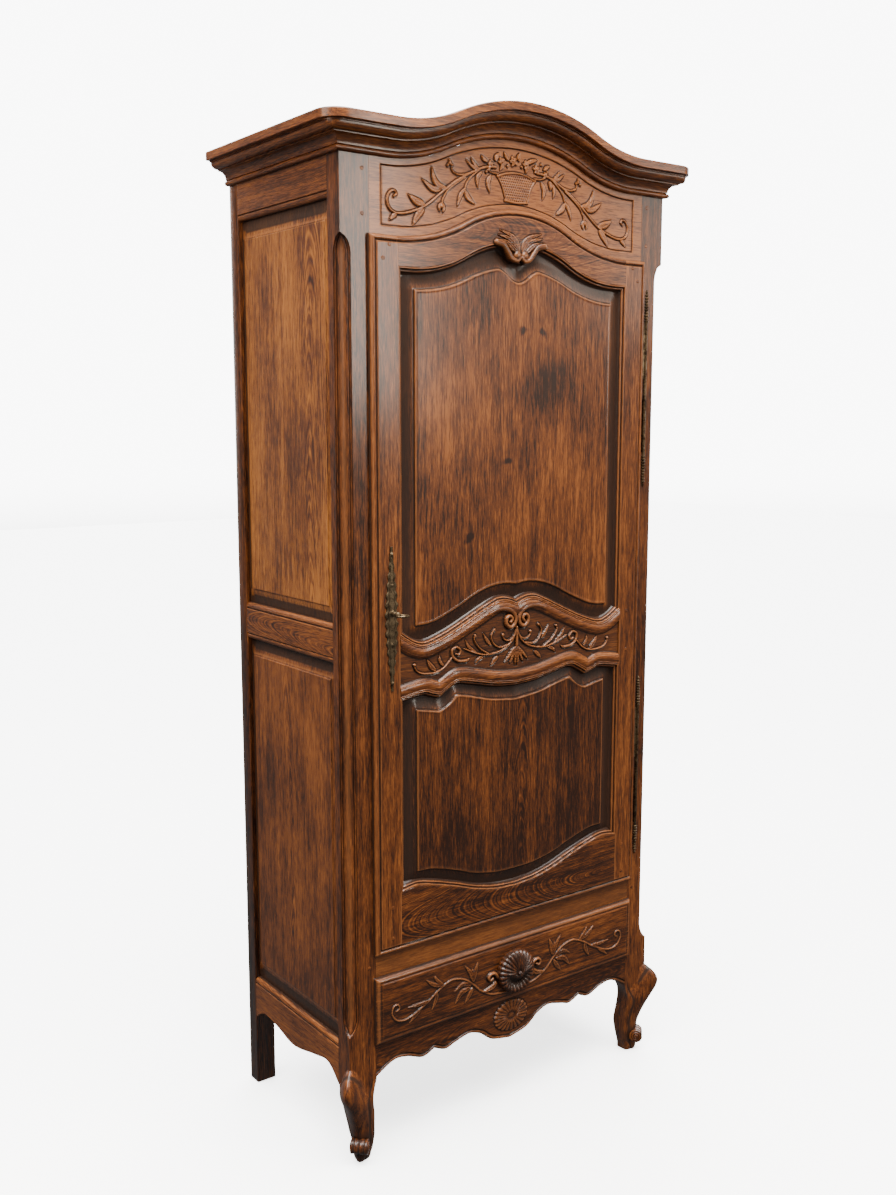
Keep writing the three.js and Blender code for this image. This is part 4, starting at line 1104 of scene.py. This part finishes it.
def toe_rings():
    """The scroll of the right toe: a grooved roll with a spiral on each end."""
    outward, axis = np.array([1, -1, 0]) / math.sqrt(2), np.array([1, 1, 0]) / math.sqrt(2)
    centre = (np.array([CASE_HALF, FRONT, TOE_PLACE[2]]) + TOE_PLACE[0] * outward
              + TOE_PLACE[1] * axis)
    angles = np.linspace(0, 2 * np.pi, 48, endpoint=False)
    sections, dips = [], []

    def add(radius, along, dip):
        rings_at = (np.outer(np.broadcast_to(along, angles.shape), axis)
                    + radius * (np.outer(np.cos(angles), outward)
                                + np.outer(np.sin(angles), (0, 0, 1))))
        sections.append(centre + rings_at)
        dips.append(np.broadcast_to(dip, angles.shape))

    def end(side, radii):
        for r in radii:
            turn = (r / 5.0 - side * angles / (2 * np.pi)) % 1
            cut = np.exp(-((turn - 0.5) / 0.17) ** 2) * (r < TOE_RADIUS - 1)
            swell = 3.4 * (1 - (r / TOE_RADIUS) ** 2) - 2.2 * cut
            # The spiral cut is painted darker and the rest of the end a little lighter: painted shade
            # and highlight, together with patina and wear.
            add(r, side * (TOE_HALF + swell), 0.8 * cut - 0.15)

    radii = np.linspace(0.3, TOE_RADIUS - 0.6, 15)
    end(-1, radii)
    for along in np.linspace(-TOE_HALF + 0.6, TOE_HALF - 0.6, 27):
        near_rim = np.exp(-((abs(along) - TOE_HALF + 6) / 1.4) ** 2)
        middle = np.exp(-(along / 1.6) ** 2)
        # The grooves of the roll are painted darker: painted shade together with patina.
        add(TOE_RADIUS - 1.6 * near_rim - 1.4 * middle, along, 0.8 * near_rim + 0.7 * middle)
    end(1, radii[::-1])
    return sections, dips


# The mortise that takes the lock's bolt, in the inner face of the left post.
BOLT = node_box("lock_bolt")
MORTISE_BACK, MORTISE_FRONT = BOLT[1][1] + 2.5, BOLT[0][1] - 1.8
MORTISE_LOW, MORTISE_HIGH = BOLT[0][2] - 2, BOLT[1][2] + 2
MORTISE_DEPTH = 14
MORTISE_TAPER = 0.2  # between a level of the plain face and the next one, at the mortise


def with_mortise(ring, depth):
    """A ring with four more points on its inner face, the middle two sunk by a depth.

    They go from the back corner, the ring's last point, to the front corner, its first.
    """
    back, front = np.array(ring[-1], float), np.array(ring[0], float)
    reach = FRONT_POST_DEPTH
    near = (FRONT + reach - MORTISE_BACK) / reach
    far = (FRONT + reach - MORTISE_FRONT) / reach
    taper = MORTISE_TAPER / reach
    steps = ((near, 0), (near + taper, depth), (far - taper, depth), (far, 0))
    return [*ring, *[back + (front - back) * share + (sunk, 0, 0) for share, sunk in steps]]


def post_rings(mortise_depth):
    """The whole front post from the floor up, level by level, and the relief of its points."""
    rings, dips = [], []
    columns = leg_columns()
    for z in [*np.arange(0, 120, 3), *np.arange(120, 205.1, 1.2)]:
        points, dip = leg_points(z, [np.interp(z, *column.T) for column in columns])
        rings.append(with_mortise(points, 0))
        dips.append([*dip, 0, 0, 0, 0])
    mortise = (MORTISE_LOW - MORTISE_TAPER, MORTISE_LOW, MORTISE_HIGH,
               MORTISE_HIGH + MORTISE_TAPER)
    heights = [CANT_LOW - 1, *np.arange(CANT_LOW + 0.5, CANT_LOW + LANCET, 1.5), *mortise,
               *np.arange(CANT_HIGH - LANCET, CANT_HIGH, 1.5), CANT_HIGH + 1, CASE_TOP - SEAM]
    for z in heights:
        cant = max(cant_width(z) * math.sqrt(2), 0.6)
        ring = post_ring(OPENING_HALF, CASE_HALF, FRONT, FRONT + FRONT_POST_DEPTH, cant,
                         cant > 1)
        depth = mortise_depth if MORTISE_LOW <= z <= MORTISE_HIGH else 0
        rings.append(with_mortise([(x, y, z) for (x, y), _ in ring], depth))
        dips.append([*[dip for _, dip in ring], 0, 0, 0, 0])
    return rings, dips


REAR_POST_ROUNDING = 1.6


def build_posts():
    toe, toe_dips = toe_rings()
    for side, mirror, depth in (("right", False, 0), ("left", True, MORTISE_DEPTH)):
        rings, dips = post_rings(depth)
        loft(f"front_post_{side}", [f"post_front_{side}"], "case", OAK_POST, rings, 34, dips,
             mirror)
        loft(f"toe_scroll_{side}", [], "case", OAK_POST, toe, 50, toe_dips, mirror)
        rear = []
        for z, inset in ((0, 1.5), (1.5, 0), (CASE_TOP - SEAM, 0)):
            x0, x1 = POST[0][0] + inset, POST[1][0] - inset
            y0, y1 = POST[0][1] + inset, POST[1][1] - inset
            r = REAR_POST_ROUNDING
            rear.append([(x0 + r, y0, z), (x1 - r, y0, z), (x1 - r * 0.3, y0 + r * 0.3, z),
                         (x1, y0 + r, z), (x1, y1 - r, z), (x1 - r * 0.3, y1 - r * 0.3, z),
                         (x1 - r, y1, z), (x0 + r, y1, z), (x0, y1 - r, z), (x0, y0 + r, z)])
        loft(f"rear_post_{side}", [f"post_rear_{side}"], "case", OAK_POST, rear, 50,
             mirror=mirror)


# Oak pegs that lock the joints: (x, z) on the right half, on the posts and on the door.
POST_PEGS = [(344, 1838), (344, 1763), (344, 388)]
DOOR_PEGS = [(296, 1714), (310, 1690), (298, 1012), (298, 930), (298, 500), (298, 440)]
# Section of a peg: radius and distance along y from the face of the wood.
PEG = [(3.9, 1.5), (3.9, -0.15), (3.0, -0.5), (1.5, -0.6), (0, -0.62)]


def build_pegs():
    for body, plane, places in (("case", FRONT, POST_PEGS), ("door", STILE[0][1], DOOR_PEGS)):
        for index, (x, z) in enumerate(places):
            for side, sign in (("left", -1), ("right", 1)):
                turned(f"peg_{body}_{index}_{side}", [], body, OAK_RAIL, (sign * x, plane, z),
                       PEG, "y", 14)


# ------------------------------------------------------------------ sides

# Edge of a side rail towards a panel: heights against the distance in from the edge.
SIDE_MOULDING = [(0, -11), (0.8, -6), (2.5, -3.0), (5, -1.2), (8, -0.5), (10, -0.8), (11, -2.4),
                 (12.4, -2.2), (13.4, 0)]

# Side panel: heights against the distance inside the edge of its raised field.
SIDE_FIELD = [(-40, -11.5), (-20, -9.8), (-2, -6.6), (-0.8, -6.2), (0, -4.6), (1, -4.4)]


def side_scallop():
    path = spline([(SIDE_FRONT, 152), (-95, 181), (-45, 174), (40, 156), (110, 168), (165, 173),
                   (SIDE_BACK, 152)], 10)
    return lambda y: np.interp(y, path[:, 0], path[:, 1])


def build_sides():
    levels = {
        "top": (TOP_RAIL[0][2], TOP_RAIL[1][2], True, False),
        "middle": (SIDE[0][2], SIDE[1][2], True, True),
        "bottom": (None, LOW_RAIL[1][2], False, True),
    }
    for plane in ("left", "right"):
        for name, (low, high, moulded_low, moulded_high) in levels.items():
            def height(U, W, low=low, high=high, at_low=moulded_low, at_high=moulded_high):
                d = np.full(U.shape, 99.0)
                if at_low:
                    d = np.minimum(d, W - low)
                if at_high:
                    d = np.minimum(d, high - W)
                return profile(d, SIDE_MOULDING)
            bottom = side_scallop() if low is None else level(low)
            us = stops(SIDE_FRONT, SIDE_BACK, (), coarse=6)
            relief_board(f"rail_{name}_{plane}", [f"side_rail_{name}_{plane}"], "case",
                         OAK_SIDE_RAIL, us, upright_fractions(0, 75, 16, 16, 0.8, 6), bottom,
                         level(high), height, 24, plane)
        spans = {"upper": (SIDE[1][2], TOP_RAIL[0][2], 30, 36),
                 "lower": (LOW_RAIL[1][2], SIDE[0][2], 40, 32)}
        for name, (low, high, margin_low, margin_high) in spans.items():
            y0, y1 = SIDE_FRONT - 0.1, SIDE_BACK + 0.1

            def height(U, W, low=low + margin_low, high=high - margin_high):
                sides = np.minimum(U - (y0 + 20), (y1 - 20) - U)
                d = np.minimum(sides, np.minimum(W - low, high - W))
                return profile(d, SIDE_FIELD)
            us = stops(y0, y1, [(y0 + 17, y0 + 24), (y1 - 24, y1 - 17)], 0.8, 6)
            vs = stops(low, high, [(low + margin_low - 3, low + margin_low + 3),
                                   (high - margin_high - 3, high - margin_high + 3)], 0.8, 12)
            material = OAK_SIDE_PANEL if name == "upper" else OAK_SIDE_LOW_PANEL
            relief_board(f"panel_{name}_{plane}", [f"side_panel_{name}_{plane}"], "case",
                         material, us, (vs - low) / (high - low), level(low), level(high),
                         height, 16, plane)


# ------------------------------------------------------------------ cornice

def arc(centre, radii, start, end, count):
    """Points of an elliptical arc; angles in degrees from the outward axis upwards."""
    angles = np.radians(np.linspace(start, end, count))
    return [(centre[0] + radii[0] * math.cos(a), centre[1] + radii[1] * math.sin(a))
            for a in angles]


# Section of the cornice: overhang beyond the case and height above it, from below.
CORNICE = [
    (-20, 0), (3.5, 0),
    *arc((4.5, 4.8), (4.8, 4.6), -90, 90, 9),
    (5.5, 9.9), (6.6, 10.6),
    *arc((21, 10.6), (14.4, 15.4), 180, 90, 10),
    (22.6, 26.0), (22.6, 28.4),
    *arc((24.0, 39.0), (13.5, 10.6), -90, 0, 9),
    (37.5, 40.8), (40.5, 40.8), (40.5, 43.0),
    (46.8, 43.2), (48, 44.2), (48, 56.6),
    *arc((44.8, 56.8), (3.2, 3.2), 0, 90, 5),
    (-20, 60),
]
CORNER_STEPS = 8


def plan_radius(overhang):
    """The upper members turn the corner in a growing curve; the lower ones are mitred."""
    return 0.4 + 40 * max(0.0, min(1.0, (overhang - 28) / 18)) ** 1.2


def corner_path(overhang, start, end):
    """Right front corner of one member in plan, between two angles of its quarter turn."""
    r = plan_radius(overhang)
    x, y = CASE_HALF + overhang - r, FRONT - overhang + r
    angles = np.radians(np.linspace(start, end, CORNER_STEPS))
    return [(x + r * math.cos(a), y + r * math.sin(a)) for a in angles]


def build_cornice():
    gap = 0.15  # between the front piece and each side piece, at their mitre
    inner_x = np.linspace(-340, 340, 69)

    def ring(index, plan):
        return [(x, y, CASE_TOP + up + float(cornice_rise(x)))
                for (x, y), (_, up) in zip(plan[index], CORNICE)]

    front_plans = []
    for out, _ in CORNICE:
        right = corner_path(out, -45, -90)
        left = [(-x, y) for x, y in right]
        front_plans.append(left + [(x, FRONT - out) for x in inner_x] + right[::-1])
    stations = list(zip(*front_plans))
    rings = [ring(i, stations) for i in range(len(stations))]
    loft("cornice_arched_front", ["cornice_front"], "case", OAK_CORNICE, rings, 32)

    side_plans = []
    for out, _ in CORNICE:
        turn = corner_path(out, -45, 0)
        side_plans.append([(x, y + gap) for x, y in turn]
                          + [(CASE_HALF + out, y) for y in (FRONT + 60, REAR)])
    stations = list(zip(*side_plans))
    rings = [[(x, y, CASE_TOP + up) for (x, y), (_, up) in zip(plan, CORNICE)]
             for plan in stations]
    for side, mirror in (("right", False), ("left", True)):
        loft(f"cornice_{side}", [f"cornice_side_{side}"], "case", OAK_SIDE_RAIL, rings, 32,
             mirror=mirror)


# ------------------------------------------------------------------ fittings

HINGE = node_box("hinge_lower_post_leaf")
HINGE_AXIS = ((HINGE[0][0] + HINGE[1][0]) / 2, HINGE[0][1] + 7)
BARREL = 3.4
TIP = 66


def beaded_tip():
    """The turned end of a hinge, from the barrel up: a collar, a row of beads and a point."""
    points = [(BARREL, 0), (5.0, 1), (5.0, 3), (3.0, 4)]
    for k in range(9):
        z, radius = 5 + 5.8 * k, 4.9 - 0.12 * k
        points += [(radius - 1.9, z), (radius - 0.3, z + 1.2), (radius, z + 2.5),
                   (radius - 0.3, z + 3.8), (radius - 1.9, z + 5)]
    return points + [(2.0, 58), (3.0, 60), (2.0, 62.5), (0.8, 65), (0, TIP)]


def leaf_plate(name, body, corner, far, thin_axis):
    """A thin hinge leaf let into the wood, with its long edges eased."""
    low, high = np.minimum(corner, far), np.maximum(corner, far)
    other = 1 - thin_axis
    middle = (low + high) / 2
    half = (high - low) / 2
    rings = []
    for z, inset in ((low[2], 2.0), (low[2] + 2, 0.0), (high[2] - 2, 0.0), (high[2], 2.0)):
        ring = []
        for along, across in ((-1, -1), (1, -1), (1, 1), (-1, 1)):
            point = np.array([0.0, 0.0, z])
            point[other] = middle[other] + along * (half[other] - inset)
            point[thin_axis] = middle[thin_axis] + across * half[thin_axis]
            ring.append(point)
        rings.append(ring)
    loft(name, [], body, BRASS, rings, 30)


def build_hinges():
    for name in ("lower", "upper"):
        post, door = node_box(f"hinge_{name}_post_leaf"), node_box(f"hinge_{name}_door_leaf")
        bottom, joint, top = post[0][2], door[0][2], door[1][2]
        tip = beaded_tip()
        low = [(r, TIP - z) for r, z in reversed(tip)] + [(BARREL, joint - bottom - 0.5)]
        high = [(BARREL, 0)] + [(r, top - joint - TIP + z) for r, z in tip]
        turned(f"hinge_{name}_low_barrel", [f"hinge_{name}_post_leaf"], "case", HINGE_BRASS,
               (*HINGE_AXIS, bottom), low)
        turned(f"hinge_{name}_high_barrel", [f"hinge_{name}_door_leaf"], "door", HINGE_BRASS,
               (*HINGE_AXIS, joint), high)
        x, y = HINGE_AXIS
        leaf_plate(f"hinge_{name}_leaf_in_post", "case", (x - 1, y, joint - 130),
                   (x + 1, post[1][1], joint - 20), 0)
        leaf_plate(f"hinge_{name}_leaf_in_door", "door", (300, y - 1, joint + 20),
                   (x - 4, y + 1, joint + 130), 1)


PLATE = node_box("escutcheon")
PLATE_X = (PLATE[0][0] + PLATE[1][0]) / 2
KEY = node_box("key")
KEY_Z = 1062


RIPPLES = 15  # waves along each edge of the plate


def build_escutcheon():
    """A long leaf-shaped plate with a wavy edge, a ridge, a boss round the key and two pins."""
    rows, cols = 180, 21
    t = np.linspace(0, 1, rows)[:, None]
    s = np.linspace(-1, 1, cols)[None, :]
    z = PLATE[0][2] + (PLATE[1][2] - PLATE[0][2]) * t
    wave = 1.6 * np.sin(np.pi * t) ** 0.7 * np.cos(2 * np.pi * t * RIPPLES)
    half = np.maximum(2.6 + 10.4 * np.sin(np.pi * t) ** 1.5 + wave, 1.2)
    X, Z = s * half, z + 0 * s
    H = 0.4 + 1.5 * np.sqrt(np.clip(1 - s ** 2, 0, 1)) + 0.5 * np.cos(2 * np.pi * t * RIPPLES) * s ** 2
    H = H - 0.9 * np.exp(-((np.abs(s) - 0.55) / 0.10) ** 2)
    boss = np.hypot(X, Z - KEY_Z)
    H = np.maximum(H, 3.0 - 0.16 * (boss / 3.2) ** 3)
    for z_pin in (PLATE[0][2] + 14, PLATE[1][2] - 14, KEY_Z + 52, KEY_Z - 58):
        pin = np.hypot(X, Z - z_pin)
        H = np.where(pin < 3.2, 2.0 + 1.2 * np.sqrt(np.clip(1 - (pin / 3.2) ** 2, 0, 1)), H)
    back = STILE[0][1] - 0.1
    front = np.stack([PLATE_X + X, back - 0.6 - H, Z], -1).reshape(-1, 3)
    rear = np.stack([PLATE_X + X, back + 0 * X, Z], -1)
    index = np.arange(rows * cols).reshape(rows, cols)
    rim = [*index[0, :], *index[1:, -1], *index[-1, -2::-1], *index[-2:0:-1, 0]]
    outline = rear.reshape(-1, 3)[rim]
    faces = np.stack([index[:-1, :-1], index[:-1, 1:], index[1:, 1:], index[1:, :-1]],
                     -1).reshape(-1, 4).tolist()
    base = rows * cols
    count = len(rim)
    for k in range(count):
        n = (k + 1) % count
        faces.append([int(rim[k]), base + k, base + n, int(rim[n])])
    faces.append([base + k for k in range(count)][::-1])
    dip = np.concatenate([cavity(H).ravel(), np.zeros(count)])
    plate = make_mesh("escutcheon_plate", np.concatenate([front, outline]), faces, BRASS, "door",
                      ["escutcheon"], dip, 35)
    bore(plate, PLATE_X, KEY_Z, PLATE_BORE)


def build_key():
    """A turned stem with collars and an open bow of two scrolls."""
    tip, end = KEY[0][1], KEY[1][1]
    centre = np.array([PLATE_X, 0, KEY_Z])
    stem_points = [(3, end), (3, tip + 40), (4.8, tip + 39), (4.8, tip + 36), (3.2, tip + 35),
                   (3.2, tip + 31), (5.4, tip + 29), (5.4, tip + 26), (2.6, tip + 24),
                   (2.2, tip + 20)]
    turned("key_stem", ["key"], "key", BRASS, centre, stem_points, "y", 20)
    turn = np.linspace(0, 2 * np.pi, 49)
    bow = np.stack([PLATE_X + 11.2 * np.sin(turn), tip + 12.4 - 10.2 * np.cos(turn),
                    KEY_Z + 0 * turn], -1)
    loft("key_bow", [], "key", BRASS, tube_rings(bow, 1.7 + 0.4 * np.cos(turn)), 40)
    for name, side in (("left", -1), ("right", 1)):
        a = np.linspace(0, 1.35 * np.pi, 22)
        r = np.linspace(5.6, 2.2, 22)
        curl = np.stack([PLATE_X + side * (5.2 - r * np.cos(a)), tip + 15 - r * np.sin(a),
                         KEY_Z + 0 * a], -1)
        loft(f"key_curl_{name}", [], "key", BRASS, tube_rings(curl, np.linspace(1.2, 1.5, 22), 8),
             40)
    x, z = PLATE_X, KEY_Z
    bit = [[(x - 1.3, y, z), (x + 1.3, y, z), (x + 1.3, y, z - depth), (x - 1.3, y, z - depth)]
           for y, depth in ((end - 11, 10), (end - 8, 12), (end - 6.1, 12), (end - 6, 9),
                            (end - 4.1, 9), (end - 4, 12), (end - 1, 12))]
    loft("key_bit", [], "key", BRASS, bit, 30)


PULL = node_box("shell_pull")


def build_shell_pull():
    """A fluted dome with a button, hollowed below so that fingers can catch its lower rim."""
    centre_z = (PULL[0][2] + PULL[1][2]) / 2
    height = PULL[1][1] - PULL[0][1]
    turn = np.linspace(0, 2 * np.pi, 240, endpoint=False)
    rings, dips = [], []
    for share in [1.0, 0.995, 0.985, *np.linspace(0.96, 0.02, 44)]:
        flute = np.abs(np.cos(turn * 13))
        downward = np.clip(-np.cos(turn), 0, 1)
        r = 46 * share * (0.955 + 0.045 * flute)
        dome = math.sqrt(max(1 - share ** 2.6, 0))
        lift = height * (0.30 + 0.56 * dome) * (share < 0.999)
        lift = lift + 2.0 * (flute - 0.6) * min(share * 1.6, 1) * (share < 0.98)
        hollow = np.exp(-((share - 0.52) / 0.22) ** 2) * downward ** 0.6
        rim = np.exp(-((share - 0.88) / 0.09) ** 2) * downward
        lift = lift - 10.5 * hollow + 2.0 * rim * flute - 5 * math.exp(-(share / 0.16) ** 2)
        if share < 0.10:
            lift = lift + 7 * math.sqrt(1 - (share / 0.10) ** 2)
        lift = np.clip(lift, 0.1 if share > 0.999 else 1.0, height)
        # The valleys between the flutes and the hollow under the dome are painted darker: painted
        # shade, together with patina, where shade falls in the hollow.
        dips.append(0.55 * (1 - flute) - 0.1 + 0.9 * hollow)
        rings.append(np.stack([r * np.sin(turn), PULL[1][1] - lift,
                               centre_z + 1 + 0.98 * r * np.cos(turn)], -1))
    loft("shell_pull_carved", ["shell_pull"], "drawer", OAK_SHELL, rings, 50, relief=dips)


# ------------------------------------------------------------------ CAD nodes that stay

def dress(material, *names):
    for name in names:
        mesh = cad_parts[name].data
        mesh.materials.clear()
        mesh.materials.append(material)


def dress_nodes():
    def both(stem):
        return [f"{stem}_left", f"{stem}_right"]

    dress(PLAIN_X, "back_rail_top", "back_rail_middle", "back_rail_bottom", "wardrobe_floor",
          "shelf_lower", "shelf_upper", "roof_board", "drawer_back", "drawer_bottom")
    dress(PLAIN_Z, "back_panel_upper", "back_panel_lower")
    dress(PLAIN_Y, *both("floor_bearer"), *both("shelf_cleat_lower"), *both("shelf_cleat_upper"),
          *both("drawer_runner"), *both("drawer_side"))
    dress(IRON, "lock_case", "lock_bolt")


# ------------------------------------------------------------------ stage, light, camera

CAMERA = (-1.5226, -2.0219, 1.4119)
LOOK = (0.58727, 0.79652, -0.14380)
LENS = 36.99
BACKDROP_LIGHT = 9.0
ROOM_LIGHT = 0.26
SKY_LIGHT = 15.2


def stage():
    floor = bpy.data.meshes.new("floor")
    size = 14.0
    floor.from_pydata([(-size, -size, 0), (size, -size, 0), (size, size, 0), (-size, size, 0)],
                      [], [(0, 1, 2, 3)])
    s = Shader("pale_floor", "waxed_oak")
    floor.materials.append(s.finish(Base_Color=rgb(0.93, 0.93, 0.93), Roughness=0.7,
                                    Emission_Color=rgb(1.0, 1.0, 1.0), Emission_Strength=2.2))
    ground = bpy.data.objects.new("floor", floor)
    bpy.context.scene.collection.objects.link(ground)
    # The floor takes light and shadow, but throws little of it back up on the object.
    ground.visible_diffuse = False
    ground.visible_glossy = False

    world = bpy.data.worlds.new("studio")
    bpy.context.scene.world = world
    world.use_nodes = True
    nodes, links = world.node_tree.nodes, world.node_tree.links
    background = nodes["Background"]
    background.inputs[0].default_value = rgb(1.0, 1.0, 1.0)
    # A bright paper backdrop behind the object, and a dimmer room on the other sides.
    place = nodes.new("ShaderNodeTexCoord")

    def fade(direction, start, end, low, high):
        toward = nodes.new("ShaderNodeVectorMath")
        toward.operation = "DOT_PRODUCT"
        toward.inputs[1].default_value = direction
        share = nodes.new("ShaderNodeMapRange")
        share.interpolation_type = "SMOOTHSTEP"
        for index, value in enumerate((start, end, low, high), 1):
            share.inputs[index].default_value = value
        links.new(place.outputs["Generated"], toward.inputs[0])
        links.new(toward.outputs["Value"], share.inputs[0])
        return share.outputs[0]

    behind = fade((0.593, 0.805, 0.0), 0.62, 0.84, 0.0, BACKDROP_LIGHT)
    above = fade((0.0, 0.0, 1.0), -0.16, -0.04, 0.0, 1.0)
    total = nodes.new("ShaderNodeMath")
    total.operation = "MULTIPLY_ADD"
    total.inputs[2].default_value = ROOM_LIGHT
    links.new(behind, total.inputs[0])
    links.new(above, total.inputs[1])
    links.new(total.outputs[0], background.inputs[1])


def aim(lamp, place, target):
    lamp.location = place
    direction = np.array(target) - np.array(place)
    lamp.rotation_euler = Vector(direction).to_track_quat("-Z", "Y").to_euler()
    bpy.context.scene.collection.objects.link(lamp)


def area_light(name, place, target, size, power):
    data = bpy.data.lights.new(name, "AREA")
    data.shape = "RECTANGLE"
    data.size, data.size_y = size
    data.energy = power
    data.color = (1.0, 0.92, 0.81)
    aim(bpy.data.objects.new(name, data), place, target)


def light_and_camera():
    sky = bpy.data.lights.new("overhead_softbox", "SUN")
    sky.energy = SKY_LIGHT
    sky.angle = math.radians(70)
    aim(bpy.data.objects.new("overhead_softbox", sky), (-0.3, -0.35, 4.0), (0, 0, 0))
    area_light("glare_softbox", (1.6, -3.3, 2.15), (-0.3, 0, 1.6), (0.36, 1.4), 66)
    area_light("high_softbox", (-0.3, -1.0, 2.8), (0.0, 0, 1.6), (1.3, 0.7), 58)
    area_light("left_softbox", (-1.9, -0.2, 2.8), (-0.4, 0, 1.7), (1.0, 1.2), 66)
    area_light("right_softbox", (2.0, -1.5, 2.2), (0.2, 0, 1.2), (0.8, 1.0), 18)
    area_light("strip_softbox", (-2.1, -1.25, 1.95), (-0.4, -0.2, 1.3), (0.25, 1.3), 9)
    data = bpy.data.cameras.new("camera")
    data.lens = LENS
    data.sensor_width = 36
    camera = bpy.data.objects.new("camera", data)
    camera.location = CAMERA
    camera.rotation_euler = Vector(LOOK).to_track_quat("-Z", "Y").to_euler()
    bpy.context.scene.collection.objects.link(camera)
    bpy.context.scene.camera = camera


build_door()
build_front()
build_posts()
build_sides()
build_cornice()
build_pegs()
build_hinges()
build_escutcheon()
build_key()
build_shell_pull()
dress_nodes()
stage()
light_and_camera()
